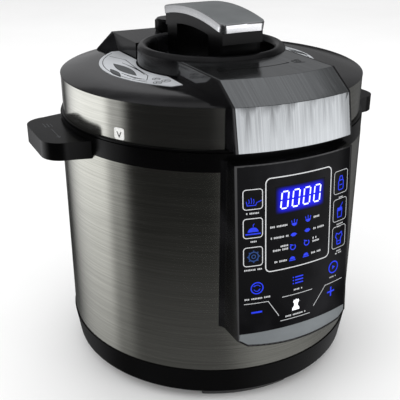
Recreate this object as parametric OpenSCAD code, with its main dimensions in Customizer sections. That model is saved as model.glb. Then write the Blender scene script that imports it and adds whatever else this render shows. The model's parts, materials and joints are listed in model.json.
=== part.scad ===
// Electric pressure cooker: steel drum on a black base, bayonet lid with a bridge handle,
// touch panel on the front, lift-out inner pot.
// Origin: centre of the circle that the feet stand on. +Z up, front (panel) towards -Y.

/* [Pot and body] */
// Inner radius of the inner pot
pot_r = 110; // [85:1:140]
// Depth of the inner pot, outside
pot_depth = 155; // [110:1:200]
// Wall of the inner pot
pot_wall = 1.5; // [1:0.1:3]
// Wall of the outer pot that the inner pot stands in
liner_wall = 2; // [1:0.1:3]
// Gap between the inner pot and the outer pot
liner_gap = 3; // [2.5:0.1:5]
// Insulating gap between the outer pot and the steel shell
shell_gap = 29.3; // [26:0.1:45]
// Wall of the steel shell
shell_wall = 1.2; // [0.8:0.1:2]
// Height of the feet
foot_h = 12.5; // [8:0.5:20]
// Height of the black base ring
base_h = 26; // [20:1:40]
// Space between the base and the inner pot, for the heater
under_pot = 46.5; // [44:0.5:60]
// Height of the black collar above the shell
collar_h = 16.2; // [15.5:0.1:24]

/* [Lid] */
// Height of the steel band round the lid
band_h = 34.3; // [30:0.1:45]
// Step from the shell's radius to the band's radius
band_step = 3; // [2:0.1:6]
// Rise of the deck from the band to the centre ring
deck_rise = 4.6; // [3:0.1:8]
// Outer radius of the centre ring
ring_r = 71; // [66:1:76]
// Width of the centre ring
ring_w = 11; // [8:0.5:13]
// Height of the centre ring above the deck
ring_h = 19.1; // [15:0.1:24]
// Angle that the lid turns to unlock
lid_open = 24; // [23:0.5:25]
// Number of bayonet teeth
tooth_count = 8; // [8:1:8]
// Angle of one bayonet tooth
tooth_angle = 19; // [14:1:20]

/* [Lid handle] */
// Length of the handle cap, front to back
grip_len = 126; // [110:1:128]
// Width of the handle cap
grip_w = 45.6; // [34:0.2:52]
// Thickness of the handle cap
cap_t = 8.5; // [6:0.5:11]
// Rise of the handle's arch in its middle
grip_arch = 7.5; // [4:0.5:10]
// Height of the handle's top above the recess floor
grip_h = 50.3; // [44:0.1:60]
// Thickness of one handle pillar, front to back
pillar_t = 24; // [16:1:26]

/* [Front fascia and control panel] */
// Width of the fascia
fascia_w = 109; // [90:1:114]
// Radius of the front's plan curve
front_arc_r = 199; // [180:1:240]
// Width of the control panel at its front
panel_w = 114.8; // [100:0.2:120]
// How far the panel's top stands in front of the shell
panel_proud_top = 12; // [11:0.5:16]
// How far the panel's foot stands in front of the shell
panel_proud_foot = 23.5; // [16:0.5:26]
// Gap from the panel's top to the collar's top
panel_drop = 5.6; // [4:0.1:10]
// Height of the panel's foot above the base
panel_foot_h = 39; // [30:0.5:60]
// Thickness of the panel's window
window_t = 1.8; // [1.2:0.1:3]

/* [Side handles] */
// Reach of a side handle beyond the shell
lug_reach = 31; // [22:1:40]
// Thickness of a side handle
lug_t = 16; // [12:0.5:20]
// Width of a side handle at its outer end
lug_w = 82; // [64:1:90]

/* [Steam valve and float] */
// Radius of the steam valve's knob
knob_r = 17.5; // [14:0.5:18]
// Height of the knob
knob_h = 12; // [9:0.5:16]
// Radius of the steam pipe's neck
neck_r = 4; // [3:0.1:5]
// Lift of the float valve
float_lift = 3; // [1.5:0.1:3.2]

/* [Condensate cup] */
// Depth of the cup behind the shell
cup_depth = 23.5; // [18:0.5:34]
// Width of the cup
cup_w = 56; // [40:1:70]
// Height of the cup
cup_h = 50; // [36:1:60]

/* [Hidden] */
$fn = 96;

// Clearances
eps = 0.05;          // overshoot of a cut
seat = 0.3;          // gap between pieces that part when the cooker is used
run = 0.05;          // radial clearance of a running fit
drill = 0.1;         // radial clearance round a screw
big = 500;           // longer than the object

// Radii, from the pot outwards
pot_ro = pot_r + pot_wall;
liner_ri = pot_ro + liner_gap;
liner_ro = liner_ri + liner_wall;
shell_ri = liner_ro + shell_gap;
shell_r = shell_ri + shell_wall;
lid_r = shell_r - band_step;
flange_r = liner_ro + 15;
collar_ri = flange_r + 1;
shield_r = liner_ro + 14.5;

// Levels, from the ground up
z_base = foot_h;
z_shell = z_base + base_h;
z_pot = z_shell + under_pot;
z_rim = z_pot + pot_depth;
z_collar = z_rim - 5;
z_collar_top = z_collar + collar_h;
glide_h = 1.9;
z_lid = z_collar_top + glide_h + 2 * seat;
z_band_top = z_lid + band_h;

// Base and feet
base_wall = 2.5;
base_ro = shell_r + 0.9;
base_taper = 4;
foot_count = 4;
foot_angle = 37;
foot_turn = -12;
foot_ri = shell_r - 29;
foot_ro = shell_r - 14;
post_count = 3;
post_r = 5;
post_ring = liner_ro - 11.5;
vent_count = 24;

// Heater
plate_t = 8;
plate_r = pot_r - 18;
plate_z = z_pot - seat - plate_t;
element_ring = plate_r - 22;
element_r = 3.5;
element_gap = 12;
liner_z = z_pot - 17;
sensor_r = 9;
sensor_stem_r = 4;
spring_wire = 0.5;
spring_turns = 5;
holder_z = z_pot - 40;
holder_t = 3;
terminal_r = 1.8;

// Collar and bayonet
collar_wall = 3;
lock_z = z_rim - 2;
lock_flange_t = 2.5;
lock_wall_ri = liner_ro + 10.5;
lock_h = 12.5;
lock_tooth_t = 3;
lock_tooth_ri = liner_ro + 5;
lock_screw_ring = liner_ro + 6.5;
lock_screw_r = 2;
plate_ro = liner_ro + 2.8;
plate_ri = plate_ro - 2;
tooth_gap = 0.4;
tooth_z = z_rim + 3.5;
tooth_t = 2.8;

// Lid
band_wall = 1.2;
cover_t = 2.5;
cover_r = lid_r - band_wall;
z_deck = z_band_top + 0.2;
deck_low = 0.8;
z_deck_top = z_deck + deck_low + deck_rise - 1;
crease_r = ring_r + 46;
crease_rise = deck_low + deck_rise - 1.8;
z_floor = z_deck_top + 3.4;
z_ring_top = z_deck_top + ring_h;
lid_plate_z = z_rim + 16.5;
lid_plate_t = 2;
boss_ring = 85;
boss_r = 4;
screw_r = 1.5;
label_t = 0.4;
label_r = crease_r - 12;
label_y = 8;
label_front = -68;
label_rear = 86;
mark_turn = 210.7;
mark_angle = 4;
mark_w = 10.2;

// Handle
z_grip = z_floor + grip_h;
arch_r = (grip_len * grip_len / 4 + grip_arch * grip_arch) / (2 * grip_arch);
bow_t = 10.5;
bow_inset = 2.4;
pillar_end = ring_r - ring_w - 2.5;

// Front
arc_y = front_arc_r - shell_r - panel_proud_top;
z_panel = z_collar_top - panel_drop;
z_panel_foot = z_shell + panel_foot_h;
panel_lean = panel_proud_foot - panel_proud_top;
panel_wall = 2.5;
side_flare = 4.4;
foot_bow_r = 330;
accent_h = 16;
accent_t = 1.9;
board_t = 1.6;
board_back = -shell_r - 1.2;
board_screw_l = 3.6;
fascia_t = 1.5;
frame_edge = 1.9;
fascia_drop = 32.8;
z_crease = z_band_top + 19.2;
z_fold = z_band_top + 3.1;
z_fascia_foot = z_band_top - fascia_drop;
crease_arc = front_arc_r - 30.6;
fold_arc = front_arc_r - 7;

// Valve
valve_y = ring_r + knob_r + 2.5;
pipe_r = 5;
housing_w = 122;
housing_front = 42;
housing_back = valve_y + 19;
z_housing = z_deck_top + 15.6;
float_x = 34;
float_y = 20;
float_r = 2.6;
float_head_r = 4.4;

// Inlet
inlet_w = 31;
inlet_h = 24;
inlet_z = z_shell + 22;
inlet_depth = 18.6;
socket_w = 24.8;
socket_h = 16.6;
socket_depth = 16;
bezel_w = 52;
bezel_h = 36;
bezel_proud = 3.2;
pin_pitch = 7;
pin_back = 9;
wire_end = shell_r + bezel_proud - socket_depth - pin_back - 0.5;

// Cup
cup_z = z_collar - cup_h - 8;
cup_wall = 1.6;
bracket_t = 2;
rail_w = 4;

// Ring with a rectangular section
module tube(z0, z1, ri, ro) {
    rotate_extrude() translate([ri, z0]) square([ro - ri, z1 - z0]);
}

// Solid round bar between two levels
module bar(z0, z1, r, fn = 48) {
    translate([0, 0, z0]) cylinder(h = z1 - z0, r = r, $fn = fn);
}

// Copies of the children round the vertical axis
module around(count, start = 0) {
    for (i = [0 : count - 1]) rotate([0, 0, start + i * 360 / count]) children();
}

// Box between two corners
module span(a, b) {
    translate(a) cube([b[0] - a[0], b[1] - a[1], b[2] - a[2]]);
}

// Pan-head screw standing on z = 0: head below, shank above
module screw(head_r, head_h, shank_r, shank_l) {
    difference() {
        bar(-head_h, 0, head_r, 32);
        for (turn = [0, 90]) rotate([0, 0, turn])
            translate([-head_r * 0.6, -0.35, -head_h - eps]) cube([head_r * 1.2, 0.7, head_h * 0.5]);
    }
    bar(0, shank_l, shank_r, 32);
}

// Closed tube of flat facets swept along a list of points
module sweep(path, r, sides = 8) {
    last = len(path) - 1;
    rings = [for (i = [0 : last])
        let (d = path[min(i + 1, last)] - path[max(i - 1, 0)], t = d / norm(d),
             helper = abs(t[2]) > 0.9 ? [1, 0, 0] : [0, 0, 1],
             u = cross(helper, t) / norm(cross(helper, t)), v = cross(t, u))
        for (k = [0 : sides - 1]) path[i] + r * cos(k * 360 / sides) * u + r * sin(k * 360 / sides) * v];
    walls = [for (i = [0 : last - 1]) for (k = [0 : sides - 1])
        [i * sides + k, (i + 1) * sides + k,
         (i + 1) * sides + (k + 1) % sides, i * sides + (k + 1) % sides]];
    ends = [[for (k = [0 : sides - 1]) k], [for (k = [sides - 1 : -1 : 0]) last * sides + k]];
    polyhedron(points = rings, faces = concat(walls, ends));
}

// ---- Base ----

module feet() {
    color("#141414") around(foot_count, foot_turn - 90 - foot_angle / 2)
        rotate_extrude(angle = foot_angle)
            polygon([[foot_ri, 0], [foot_ro, 0], [foot_ro + 6, foot_h], [foot_ri - 3, foot_h]]);
}

module base_profile(inset) {
    polygon([
        [0, z_base + inset], [base_ro - base_taper - inset, z_base + inset],
        [base_ro - inset, z_shell + eps * sign(inset)], [0, z_shell + eps * sign(inset)]
    ]);
}

module post_places() {
    around(post_count, 60) translate([post_ring, 0, 0]) children();
}

module base_cover() {
    color("#161616") difference() {
        union() {
            difference() {
                rotate_extrude() base_profile(0);
                rotate_extrude() base_profile(base_wall);
            }
            tube(z_shell - 6, z_shell, shell_ri - 4, base_ro - base_wall);
            tube(z_shell - eps, z_shell + 5, shell_ri - 3, shell_ri - 0.2);
        }
        around(vent_count, 7.5) span([60, -2, z_base - eps], [88, 2, z_base + base_wall + eps]);
        post_places() bar(z_base - eps, z_base + base_wall + eps, 2 + drill);
        span([-bezel_w / 2, shell_ri - 20, z_shell - eps], [bezel_w / 2, shell_r + 2, z_shell + 6]);
    }
}

module support_posts() {
    color("#b0b3b5") post_places() difference() {
        bar(z_base + base_wall, liner_z - 0.8, post_r);
        bar(z_base + base_wall - eps, z_base + base_wall + 16, 2 + drill);
    }
}

module base_screws() {
    color("#c8cacc") post_places() translate([0, 0, z_base]) screw(4, 2.2, 2, 15);
}

module shell_cutouts() {
    span([-inlet_w / 2 - 1, 0, inlet_z - inlet_h / 2 - 1], [inlet_w / 2 + 1, big, inlet_z + inlet_h / 2 + 1]);
    translate([0, 0, z_panel - 60]) rotate([90, 0, 0]) cylinder(h = big, r = 9);
    for (side = [-1, 1]) translate([side * bezel_w * 0.42, 0, inlet_z]) rotate([-90, 0, 0])
        cylinder(h = big, r = screw_r + drill, $fn = 32);
}

module outer_shell() {
    color("#a7a7a3") difference() {
        tube(z_shell, z_collar, shell_ri, shell_r);
        shell_cutouts();
    }
}

// ---- Heater group ----

module terminal_places() {
    for (side = [-1, 1]) rotate([0, 0, 180 + side * (element_gap + 2.5)])
        translate([element_ring, 0, 0]) children();
}

module heat_shield() {
    color("#c9cbcc") difference() {
        union() {
            tube(liner_z, lock_z - 14, shield_r - 0.6, shield_r);
            tube(liner_z - 0.8, liner_z, 45, shield_r);
        }
        terminal_places() bar(liner_z - 2, liner_z + 1, 5);
    }
}

module outer_pot() {
    color("#9fa2a4") difference() {
        union() {
            tube(liner_z, lock_z, liner_ri, liner_ro);
            tube(liner_z, liner_z + liner_wall, 40, liner_ro);
            tube(lock_z - liner_wall, lock_z, liner_ri, flange_r);
        }
        terminal_places() bar(liner_z - eps, liner_z + liner_wall + eps, 5);
        lock_screw_places() bar(lock_z - liner_wall - eps, lock_z + eps, lock_screw_r + drill);
    }
}

module heating_plate() {
    color("#b9bbbb") difference() {
        union() {
            bar(plate_z, plate_z + plate_t, plate_r, 96);
            around(post_count) translate([plate_r - 9, 0, 0]) bar(liner_z + liner_wall, plate_z + eps, 4);
        }
        bar(plate_z - eps, plate_z + plate_t + eps, sensor_r + 0.6);
        rotate_extrude() translate([element_ring, plate_z]) circle(r = element_r, $fn = 32);
    }
}

module heating_element() {
    color("#5b5d5f") {
        rotate([0, 0, element_gap - 180]) rotate_extrude(angle = 360 - 2 * element_gap)
            translate([element_ring, plate_z]) circle(r = element_r, $fn = 32);
        terminal_places() bar(liner_z - 9, plate_z, terminal_r, 24);
    }
}

module sensor_holder() {
    color("#8f9294") difference() {
        union() {
            bar(holder_z, holder_z + holder_t, 16);
            bar(holder_z - 5, holder_z + eps, 7);
            for (side = [-1, 1])
                span([side * 30 - 16, -5, holder_z], [side * 30 + 16, 5, holder_z + holder_t]);
            for (side = [-1, 1]) translate([side * 43, 0, 0]) bar(holder_z, liner_z - 0.8, 4);
        }
        bar(holder_z - 6, holder_z + holder_t + eps, sensor_stem_r + run);
    }
}

module temperature_sensor() {
    color("#d4d6d7") {
        bar(z_pot - seat - 9, z_pot - seat, sensor_r);
        bar(holder_z - 8, z_pot - seat - 9, sensor_stem_r);
    }
}

module sensor_spring() {
    low = holder_z + holder_t + spring_wire;
    high = z_pot - seat - 9 - spring_wire;
    steps = spring_turns * 20;
    coil_r = sensor_stem_r + 1.6;
    color("#dfe1e2") sweep([for (i = [0 : steps])
        [coil_r * cos(i * 18), coil_r * sin(i * 18), low + (high - low) * i / steps]], spring_wire);
}

module pressure_switch() {
    color("#3a3d42") {
        span([-20, 48, z_base + base_wall], [10, 62, z_base + base_wall + 10]);
        span([-12, 52, z_base + base_wall + 10], [2, 58, z_base + base_wall + 24]);
        translate([-5, 55, 0]) bar(z_base + base_wall + 24, liner_z - 1.1, 3);
    }
}

module thermal_fuse() {
    color("#d9d6c8") {
        span([-40, -64, liner_z - 3.8], [-16, -56, liner_z - 0.8]);
        translate([-42, -60, liner_z - 6.4]) rotate([0, 90, 0]) cylinder(h = 28, r = 2.6, $fn = 32);
    }
}

module power_board() {
    color("#1f5a38") {
        span([38, -30, z_base + 12], [118, 30, z_base + 13.6]);
        for (x = [43, 113]) for (y = [-25, 25])
            translate([x, y, 0]) bar(z_base + base_wall, z_base + 12, 3);
    }
}

module power_board_parts() {
    color("#2d2f36") {
        span([44, -20, z_base + 13.6], [66, 4, z_base + 31]);
        span([74, -22, z_base + 13.6], [92, -6, z_base + 29]);
        span([74, 6, z_base + 13.6], [112, 22, z_base + 24]);
        translate([56, 16, 0]) bar(z_base + 13.6, z_base + 36, 6);
        translate([102, -14, 0]) bar(z_base + 13.6, z_base + 28, 5);
    }
}

module wiring_loom() {
    color("#8a2f2a") {
        for (i = [-1 : 1]) sweep([
            [i * pin_pitch, wire_end, inlet_z + (i == 0 ? 2 : -2)],
            [i * pin_pitch, wire_end - 4, inlet_z + (i == 0 ? 2 : -2)],
            [i * pin_pitch, shell_r - 32, inlet_z - 12],
            [30 + i * 4, 78, z_base + 20], [96 + i * 5, 24, z_base + 26]
        ], 1.3);
        sweep([[0, -shell_r + 4, z_panel - 60], [0, -shell_ri + 5, z_shell + 20],
            [40, -60, z_base + 20], [60, -24, z_base + 18]], 1.6);
    }
}

// ---- Power inlet ----

module inlet_bezel() {
    color("#141414") difference() {
        span([-bezel_w / 2, shell_r - 14, z_shell + 0.2],
             [bezel_w / 2, shell_r + bezel_proud, z_shell + bezel_h]);
        bar(0, big, shell_r, 360);
        span([-inlet_w / 2, 0, inlet_z - inlet_h / 2], [inlet_w / 2, big, inlet_z + inlet_h / 2]);
        for (side = [-1, 1]) translate([side * bezel_w * 0.42, 0, inlet_z]) rotate([-90, 0, 0])
            cylinder(h = big, r = screw_r + drill, $fn = 32);
    }
}

module power_inlet() {
    color("#1c1c1e") difference() {
        span([-inlet_w / 2, shell_r + bezel_proud - inlet_depth, inlet_z - inlet_h / 2],
             [inlet_w / 2, shell_r + bezel_proud, inlet_z + inlet_h / 2]);
        span([-socket_w / 2, shell_r + bezel_proud - socket_depth, inlet_z - socket_h / 2],
             [socket_w / 2, big, inlet_z + socket_h / 2]);
        pin_places() span([-1, -eps - 10, -2], [1, 2, 2]);
    }
}

module pin_places() {
    for (i = [-1 : 1]) translate([i * pin_pitch, shell_r + bezel_proud - socket_depth,
                                  inlet_z + (i == 0 ? 2 : -2)]) children();
}

module inlet_pins() {
    color("#cfd1d2") pin_places() span([-1, -pin_back, -2], [1, 13, 2]);
}

module inlet_screws() {
    color("#c8cacc") for (side = [-1, 1])
        translate([side * bezel_w * 0.42, shell_r + bezel_proud, inlet_z]) rotate([90, 0, 0])
            screw(2.8, 1.4, screw_r, 14);
}

// ---- Collar, bayonet and side handles ----

module lug_screw_places() {
    for (side = [-1, 1]) for (y = [-18, 18])
        translate([side * (shell_ri - 6.5), y, z_collar + 6]) rotate([0, side * 90, 0]) children();
}

module upper_collar() {
    color("#151515") difference() {
        union() {
            tube(z_collar, z_collar_top, shell_r - collar_wall - 0.2, shell_r - 0.2);
            tube(z_collar_top - 2.5, z_collar_top, collar_ri, shell_r - 0.2);
            tube(z_collar + 4, z_collar_top, collar_ri, collar_ri + 2.5);
            tube(z_collar - 7, z_collar + 1, shell_ri - 2.6, shell_ri - 0.2);
        }
        lug_screw_places() bar(-10, 30, 2 + drill, 32);
    }
}

module lock_screw_places() {
    around(tooth_count, 22.5) translate([lock_screw_ring, 0, 0]) children();
}

module sector(angle, r) {
    polygon([[0, 0], [r * cos(angle / 2), -r * sin(angle / 2)],
             [r * 1.2, 0], [r * cos(angle / 2), r * sin(angle / 2)]]);
}

// Ring of teeth between two radii
module teeth(z0, z1, ri, ro) {
    intersection() {
        tube(z0, z1, ri, ro);
        around(tooth_count) translate([0, 0, z0 - eps]) linear_extrude(z1 - z0 + 2 * eps)
            sector(tooth_angle, ro * 1.3);
    }
}

module locking_ring() {
    color("#b4b7b8") difference() {
        union() {
            tube(lock_z, lock_z + lock_flange_t, liner_ro + 1.6, flange_r);
            tube(lock_z, lock_z + lock_h, lock_wall_ri, lock_wall_ri + 2.5);
            teeth(lock_z + lock_h - lock_tooth_t, lock_z + lock_h, lock_tooth_ri, lock_wall_ri + eps);
        }
        lock_screw_places() bar(lock_z - eps, lock_z + lock_flange_t + eps, lock_screw_r + drill);
    }
}

module ring_screws() {
    color("#d0d2d3") lock_screw_places() translate([0, 0, lock_z + lock_flange_t])
        mirror([0, 0, 1]) screw(2.9, 1.1, lock_screw_r, 12);
}

module ring_nuts() {
    color("#c2c4c5") lock_screw_places() difference() {
        bar(lock_z - liner_wall - 3, lock_z - liner_wall, 3.6, 6);
        bar(lock_z - liner_wall - 4, lock_z, lock_screw_r + drill);
    }
}

// Outline of a side handle on the +X side, shrunk by a wall
module lug_outline(inset) {
    corner = 20 - inset;
    tip = shell_r + lug_reach - inset;
    half = lug_w / 2 - inset;
    polygon([
        [shell_r - 20, -half - 8], [tip - corner, -half], [tip, -half + corner],
        [tip, half - corner], [tip - corner, half], [shell_r - 20, half + 8]
    ]);
    for (side = [-1, 1]) translate([tip - corner, side * (half - corner)]) circle(r = corner);
}

module side_handle() {
    z0 = z_collar - 4;
    difference() {
        translate([0, 0, z0]) linear_extrude(lug_t) lug_outline(0);
        difference() {
            translate([0, 0, z0 - eps]) linear_extrude(lug_t - 3.5) lug_outline(3);
            bar(0, big, shell_r + 5, 96);
            span([shell_r - 30, -2, 0], [shell_r + 12, 2, big]);
        }
        bar(0, big, shell_r, 360);
        for (y = [-18, 18]) translate([shell_ri - 6.5, y, z_collar + 6]) rotate([0, 90, 0])
            bar(-10, 22, 2 + drill, 32);
    }
}

module side_handle_right() {
    color("#171717") side_handle();
}

module side_handle_left() {
    color("#171717") mirror([1, 0, 0]) side_handle();
}

module side_handle_screws() {
    color("#c8cacc") lug_screw_places() screw(3.6, 2.4, 2, 16);
}

// ---- Control panel ----

// Radius of the panel's front, seen from above, at a level
function panel_arc(z) = front_arc_r + panel_lean * (z_panel - z) / (z_panel - z_panel_foot);

// Solid behind the panel's leaning front, between two levels
module panel_block(inset, z0, z1, width) {
    corner_y = panel_proud_top - 3.6 - shell_r;
    intersection() {
        translate([0, arc_y, 0]) rotate_extrude($fn = 180) polygon([
            [0, z0], [panel_arc(z0) - inset, z0], [panel_arc(z1) - inset, z1], [0, z1]
        ]);
        translate([0, 0, z0]) linear_extrude(z1 - z0) polygon([
            [-width / 2 - side_flare, -shell_r * 0.9], [-width / 2, corner_y], [-width / 2, -big],
            [width / 2, -big], [width / 2, corner_y], [width / 2 + side_flare, -shell_r * 0.9]
        ]);
    }
}

// Layer of the panel between two depths behind its front
module panel_layer(from, to, z0, z1, width) {
    difference() {
        panel_block(from, z0, z1, width);
        panel_block(to, z0 - 1, z1 + 1, width + 20);
    }
}

// Cut below the panel's bowed foot and its two sloping corners
module panel_lower_cut(lift) {
    edge = panel_w / 2;
    low = z_panel_foot + lift;
    for (side = [0, 1]) mirror([side, 0, 0]) rotate([90, 0, 0]) linear_extrude(big) polygon([
        [edge - 10, low + 3], [edge, low + 10], [edge + 12, low + 10],
        [edge + 12, low - 20], [edge - 10, low - 20]
    ]);
    difference() {
        span([-edge, -big, low - 20], [edge, 0, low + 6]);
        translate([0, 1, low + foot_bow_r]) rotate([90, 0, 0])
            cylinder(h = big + 2, r = foot_bow_r, $fn = 240);
    }
}

module panel_screw_places() {
    for (x = [-43, 43]) for (z = [z_panel - 22, z_panel_foot + 40])
        translate([x, board_back, z]) rotate([90, 0, 0]) children();
}

// Ribs behind the window that the control board screws to
module panel_ribs() {
    intersection() {
        panel_block(window_t, z_panel_foot, z_panel, panel_w - 3);
        for (side = [0, 1]) for (z = [z_panel - 22, z_panel_foot + 40]) mirror([side, 0, 0])
            span([38, -big, z - 4], [60, board_back - board_t, z + 4]);
    }
}

module panel_housing() {
    color("#121212") difference() {
        union() {
            difference() {
                panel_block(0, z_panel_foot, z_panel, panel_w);
                panel_block(-eps, z_panel_foot + accent_h + 2, z_panel - panel_wall - 1, panel_w - 9);
            }
            panel_ribs();
        }
        bar(0, big, shell_r, 360);
        panel_layer(-eps, window_t, z_panel_foot + accent_h, z_panel - 1.4, panel_w - 4);
        panel_lower_cut(0);
        accent_space(-0.4, z_panel_foot + accent_h + eps, panel_w - 4);
        panel_screw_places() bar(-eps, board_screw_l, 1 + drill, 24);
    }
}

// Layer of the panel's foot that the accent strip fills
module accent_space(from, top, width) {
    difference() {
        panel_layer(from, accent_t, z_panel_foot - 1, top, width);
        panel_lower_cut(1.8);
    }
}

module panel_window() {
    color("#050507")
        panel_layer(0, window_t, z_panel_foot + accent_h + 0.1, z_panel - 1.5, panel_w - 4.2);
}

module panel_accent() {
    color("#9aa0a5") accent_space(0, z_panel_foot + accent_h, panel_w - 4.2);
}

module control_board() {
    color("#1f5a38") difference() {
        span([-48, board_back - board_t, z_panel_foot + 32], [48, board_back, z_panel - 14]);
        panel_screw_places() bar(-eps, board_screw_l, 1 + drill, 24);
        span([-40, -big, z_panel - 72], [-24, 0, z_panel - 56]);
    }
}

module display_module() {
    color("#2a2c30") intersection() {
        span([-27, board_back - 8.6, z_panel - 44], [27, board_back - board_t, z_panel - 20]);
        panel_block(window_t + 0.3, z_panel_foot, z_panel, panel_w);
    }
}

module panel_screws() {
    color("#c8cacc") panel_screw_places() screw(2, 0.9, 1, board_screw_l);
}

// ---- Condensate cup ----

module rail_places() {
    for (side = [-1, 1]) translate([side * 14, 0, 0]) children();
}

module cup_bracket() {
    color("#161616") difference() {
        union() {
            span([-cup_w / 2 + 6, shell_r - 12, cup_z + 6],
                 [cup_w / 2 - 6, shell_r + bracket_t, cup_z + cup_h]);
            rail_places() span([-rail_w / 2, shell_r, cup_z + 6],
                               [rail_w / 2, shell_r + bracket_t + 3, cup_z + cup_h - 8]);
        }
        bar(0, big, shell_r, 360);
    }
}

module condensate_cup() {
    back = shell_r + cup_depth;
    front = shell_r + bracket_t + seat;
    color([0.75, 0.78, 0.8, 0.5]) {
        difference() {
            span([-cup_w / 2, front, cup_z], [cup_w / 2, back, cup_z + cup_h]);
            span([-cup_w / 2 + cup_wall, front + 5 + cup_wall, cup_z + cup_wall],
                 [cup_w / 2 - cup_wall, back - cup_wall, cup_z + cup_h + eps]);
            rail_places() span([-rail_w / 2 - seat, front - eps, cup_z - eps],
                               [rail_w / 2 + seat, front + 3 + seat, cup_z + cup_h - 8 + seat]);
        }
    }
}

// ---- Inner pot ----

module inner_pot() {
    color("#8b8d8f") rotate_extrude() polygon([
        [0, z_pot], [pot_ro - 8, z_pot], [pot_ro - 2.3, z_pot + 2.3], [pot_ro, z_pot + 8],
        [pot_ro, z_rim - pot_wall - 0.2], [liner_ro + 0.4, z_rim - pot_wall - 0.2],
        [liner_ro + 0.4, z_rim], [pot_r, z_rim],
        [pot_r, z_pot + 8.4], [pot_r - 2, z_pot + 3.6], [pot_r - 6.7, z_pot + pot_wall],
        [0, z_pot + pot_wall]
    ]);
}

// ---- Lid ----

module lid_glide_ring() {
    z0 = z_collar_top + seat;
    color("#1a1a1a") tube(z0, z0 + glide_h, lid_r - 5, lid_r + 2);
}

module lid_band() {
    color("#a9a9a5") difference() {
        tube(z_lid, z_band_top, cover_r, lid_r);
        front_block(0, z_lid - 1, fascia_w + 2 * frame_edge);
    }
}

// Deck profile of the lid cover, lifted by a thickness
module deck_profile(lift, z_low) {
    polygon([
        [0, z_low], [cover_r, z_low], [cover_r, z_band_top],
        [lid_r + 0.3, z_band_top], [lid_r + 0.3, z_deck + lift], [lid_r - 1.2, z_deck + deck_low + lift],
        [crease_r, z_deck + crease_rise + lift], [ring_r - ring_w, z_deck_top + lift],
        [ring_r - ring_w, z_floor], [0, z_floor]
    ]);
}

module deck_solid(lift = 0) {
    rotate_extrude() deck_profile(lift, z_lid);
}

module boss_places() {
    around(4, 45) translate([boss_ring, 0, 0]) children();
}

module lid_cover() {
    skirt_z = z_lid + 6;
    color("#161616") difference() {
        union() {
            difference() {
                rotate_extrude() deck_profile(0, skirt_z);
                rotate_extrude() polygon([
                    [0, 0], [cover_r - cover_t, 0], [cover_r - cover_t, z_deck - cover_t + 1.4],
                    [crease_r, z_deck + crease_rise - cover_t], [ring_r - ring_w - 3, z_deck_top - cover_t],
                    [ring_r - ring_w - 3, z_floor - cover_t], [0, z_floor - cover_t]
                ]);
            }
            boss_places() bar(lid_plate_z + lid_plate_t, z_deck_top - 1, boss_r);
        }
        boss_places() bar(0, lid_plate_z + 20, screw_r + drill, 32);
        translate([0, valve_y, 0]) bar(0, big, pipe_r + drill);
        translate([float_x, float_y, 0]) bar(0, big, float_r + run);
        handle_screw_places() bar(0, big, 2 + drill, 32);
        front_block(0, 0, fascia_w + 2 * frame_edge, lid_r - 12);
    }
}

// Profile of the lid's front housing, seen from the side, as distance from the arc's centre
module front_profile(inset, z_low) {
    polygon([
        [0, z_low], [front_arc_r - inset, z_low], [front_arc_r - inset, z_fascia_foot],
        [fold_arc - inset, z_fold - inset * 0.4], [crease_arc - inset * 0.5, z_crease - inset],
        [0, z_crease - inset]
    ]);
}

// Front housing's outer solid; keep_r keeps only what lies beyond that radius from the lid's axis
module front_block(inset, z_low, width, keep_r = 0) {
    difference() {
        intersection() {
            translate([0, arc_y, 0]) rotate_extrude() front_profile(inset, z_low);
            span([-width / 2, -big, 0], [width / 2, 0, big]);
        }
        bar(-1, big, max(keep_r, 1), 96);
    }
}

module fascia_frame() {
    outer_w = fascia_w + 2 * frame_edge;
    color("#101010") difference() {
        front_block(0, z_fascia_foot, outer_w, ring_r + 0.1);
        intersection() {
            deck_solid();
            bar(0, big, lid_r - 12, 96);
        }
        front_block(fascia_t + 2.2, 0, outer_w - 5, 0);
        fascia_space();
        bar(0, z_deck, lid_r - 12, 96);
    }
}

// Layer of the front housing that the fascia sheet takes up
module fascia_space() {
    difference() {
        front_block(-eps, 0, fascia_w, ring_r - 2);
        front_block(fascia_t, 0, fascia_w + 1, 0);
    }
}

module lid_fascia() {
    color("#b5b8ba") difference() {
        front_block(0, z_fascia_foot, fascia_w - 0.2, ring_r + 0.1);
        front_block(fascia_t, 0, fascia_w + 20, 0);
    }
}

module vent_housing() {
    half = housing_w / 2;
    wall = 2.2;
    color("#181818") difference() {
        intersection() {
            rotate([90, 0, 90]) translate([0, 0, -half]) linear_extrude(housing_w) polygon([
                [housing_front, z_deck], [housing_front, z_housing], [housing_back, z_housing],
                [lid_r - 5, z_deck + 1], [lid_r - 5, z_deck]
            ]);
            bar(0, big, lid_r - 4, 96);
        }
        deck_solid();
        bar(0, big, ring_r + 0.1, 96);
        rotate([90, 0, 90]) translate([0, 0, -half + wall]) linear_extrude(housing_w - 2 * wall) polygon([
            [0, 0], [0, z_housing - wall], [housing_back - 1, z_housing - wall],
            [lid_r - 12, z_deck + 1], [lid_r - 12, 0]
        ]);
        translate([0, valve_y, 0]) bar(0, big, pipe_r + drill);
    }
}

module centre_ring() {
    color("#1b1b1b") difference() {
        rotate_extrude() polygon([
            [ring_r - ring_w, z_deck], [ring_r, z_deck], [ring_r, z_ring_top - 4],
            [ring_r - 3, z_ring_top - 0.6], [ring_r - 5.5, z_ring_top], [ring_r - ring_w + 2, z_ring_top - 1.5],
            [ring_r - ring_w, z_ring_top - 5]
        ]);
        deck_solid();
    }
}

// ---- Lid handle ----

// Slice of the handle's arch between two radii
module arch(outer, inner, width, length) {
    intersection() {
        translate([-width / 2, 0, z_grip - arch_r]) rotate([0, 90, 0]) difference() {
            cylinder(h = width, r = outer, $fn = 360);
            translate([0, 0, -1]) cylinder(h = width + 2, r = inner, $fn = 360);
        }
        span([-width, -length / 2, z_floor], [width, length / 2, big]);
    }
}

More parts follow.
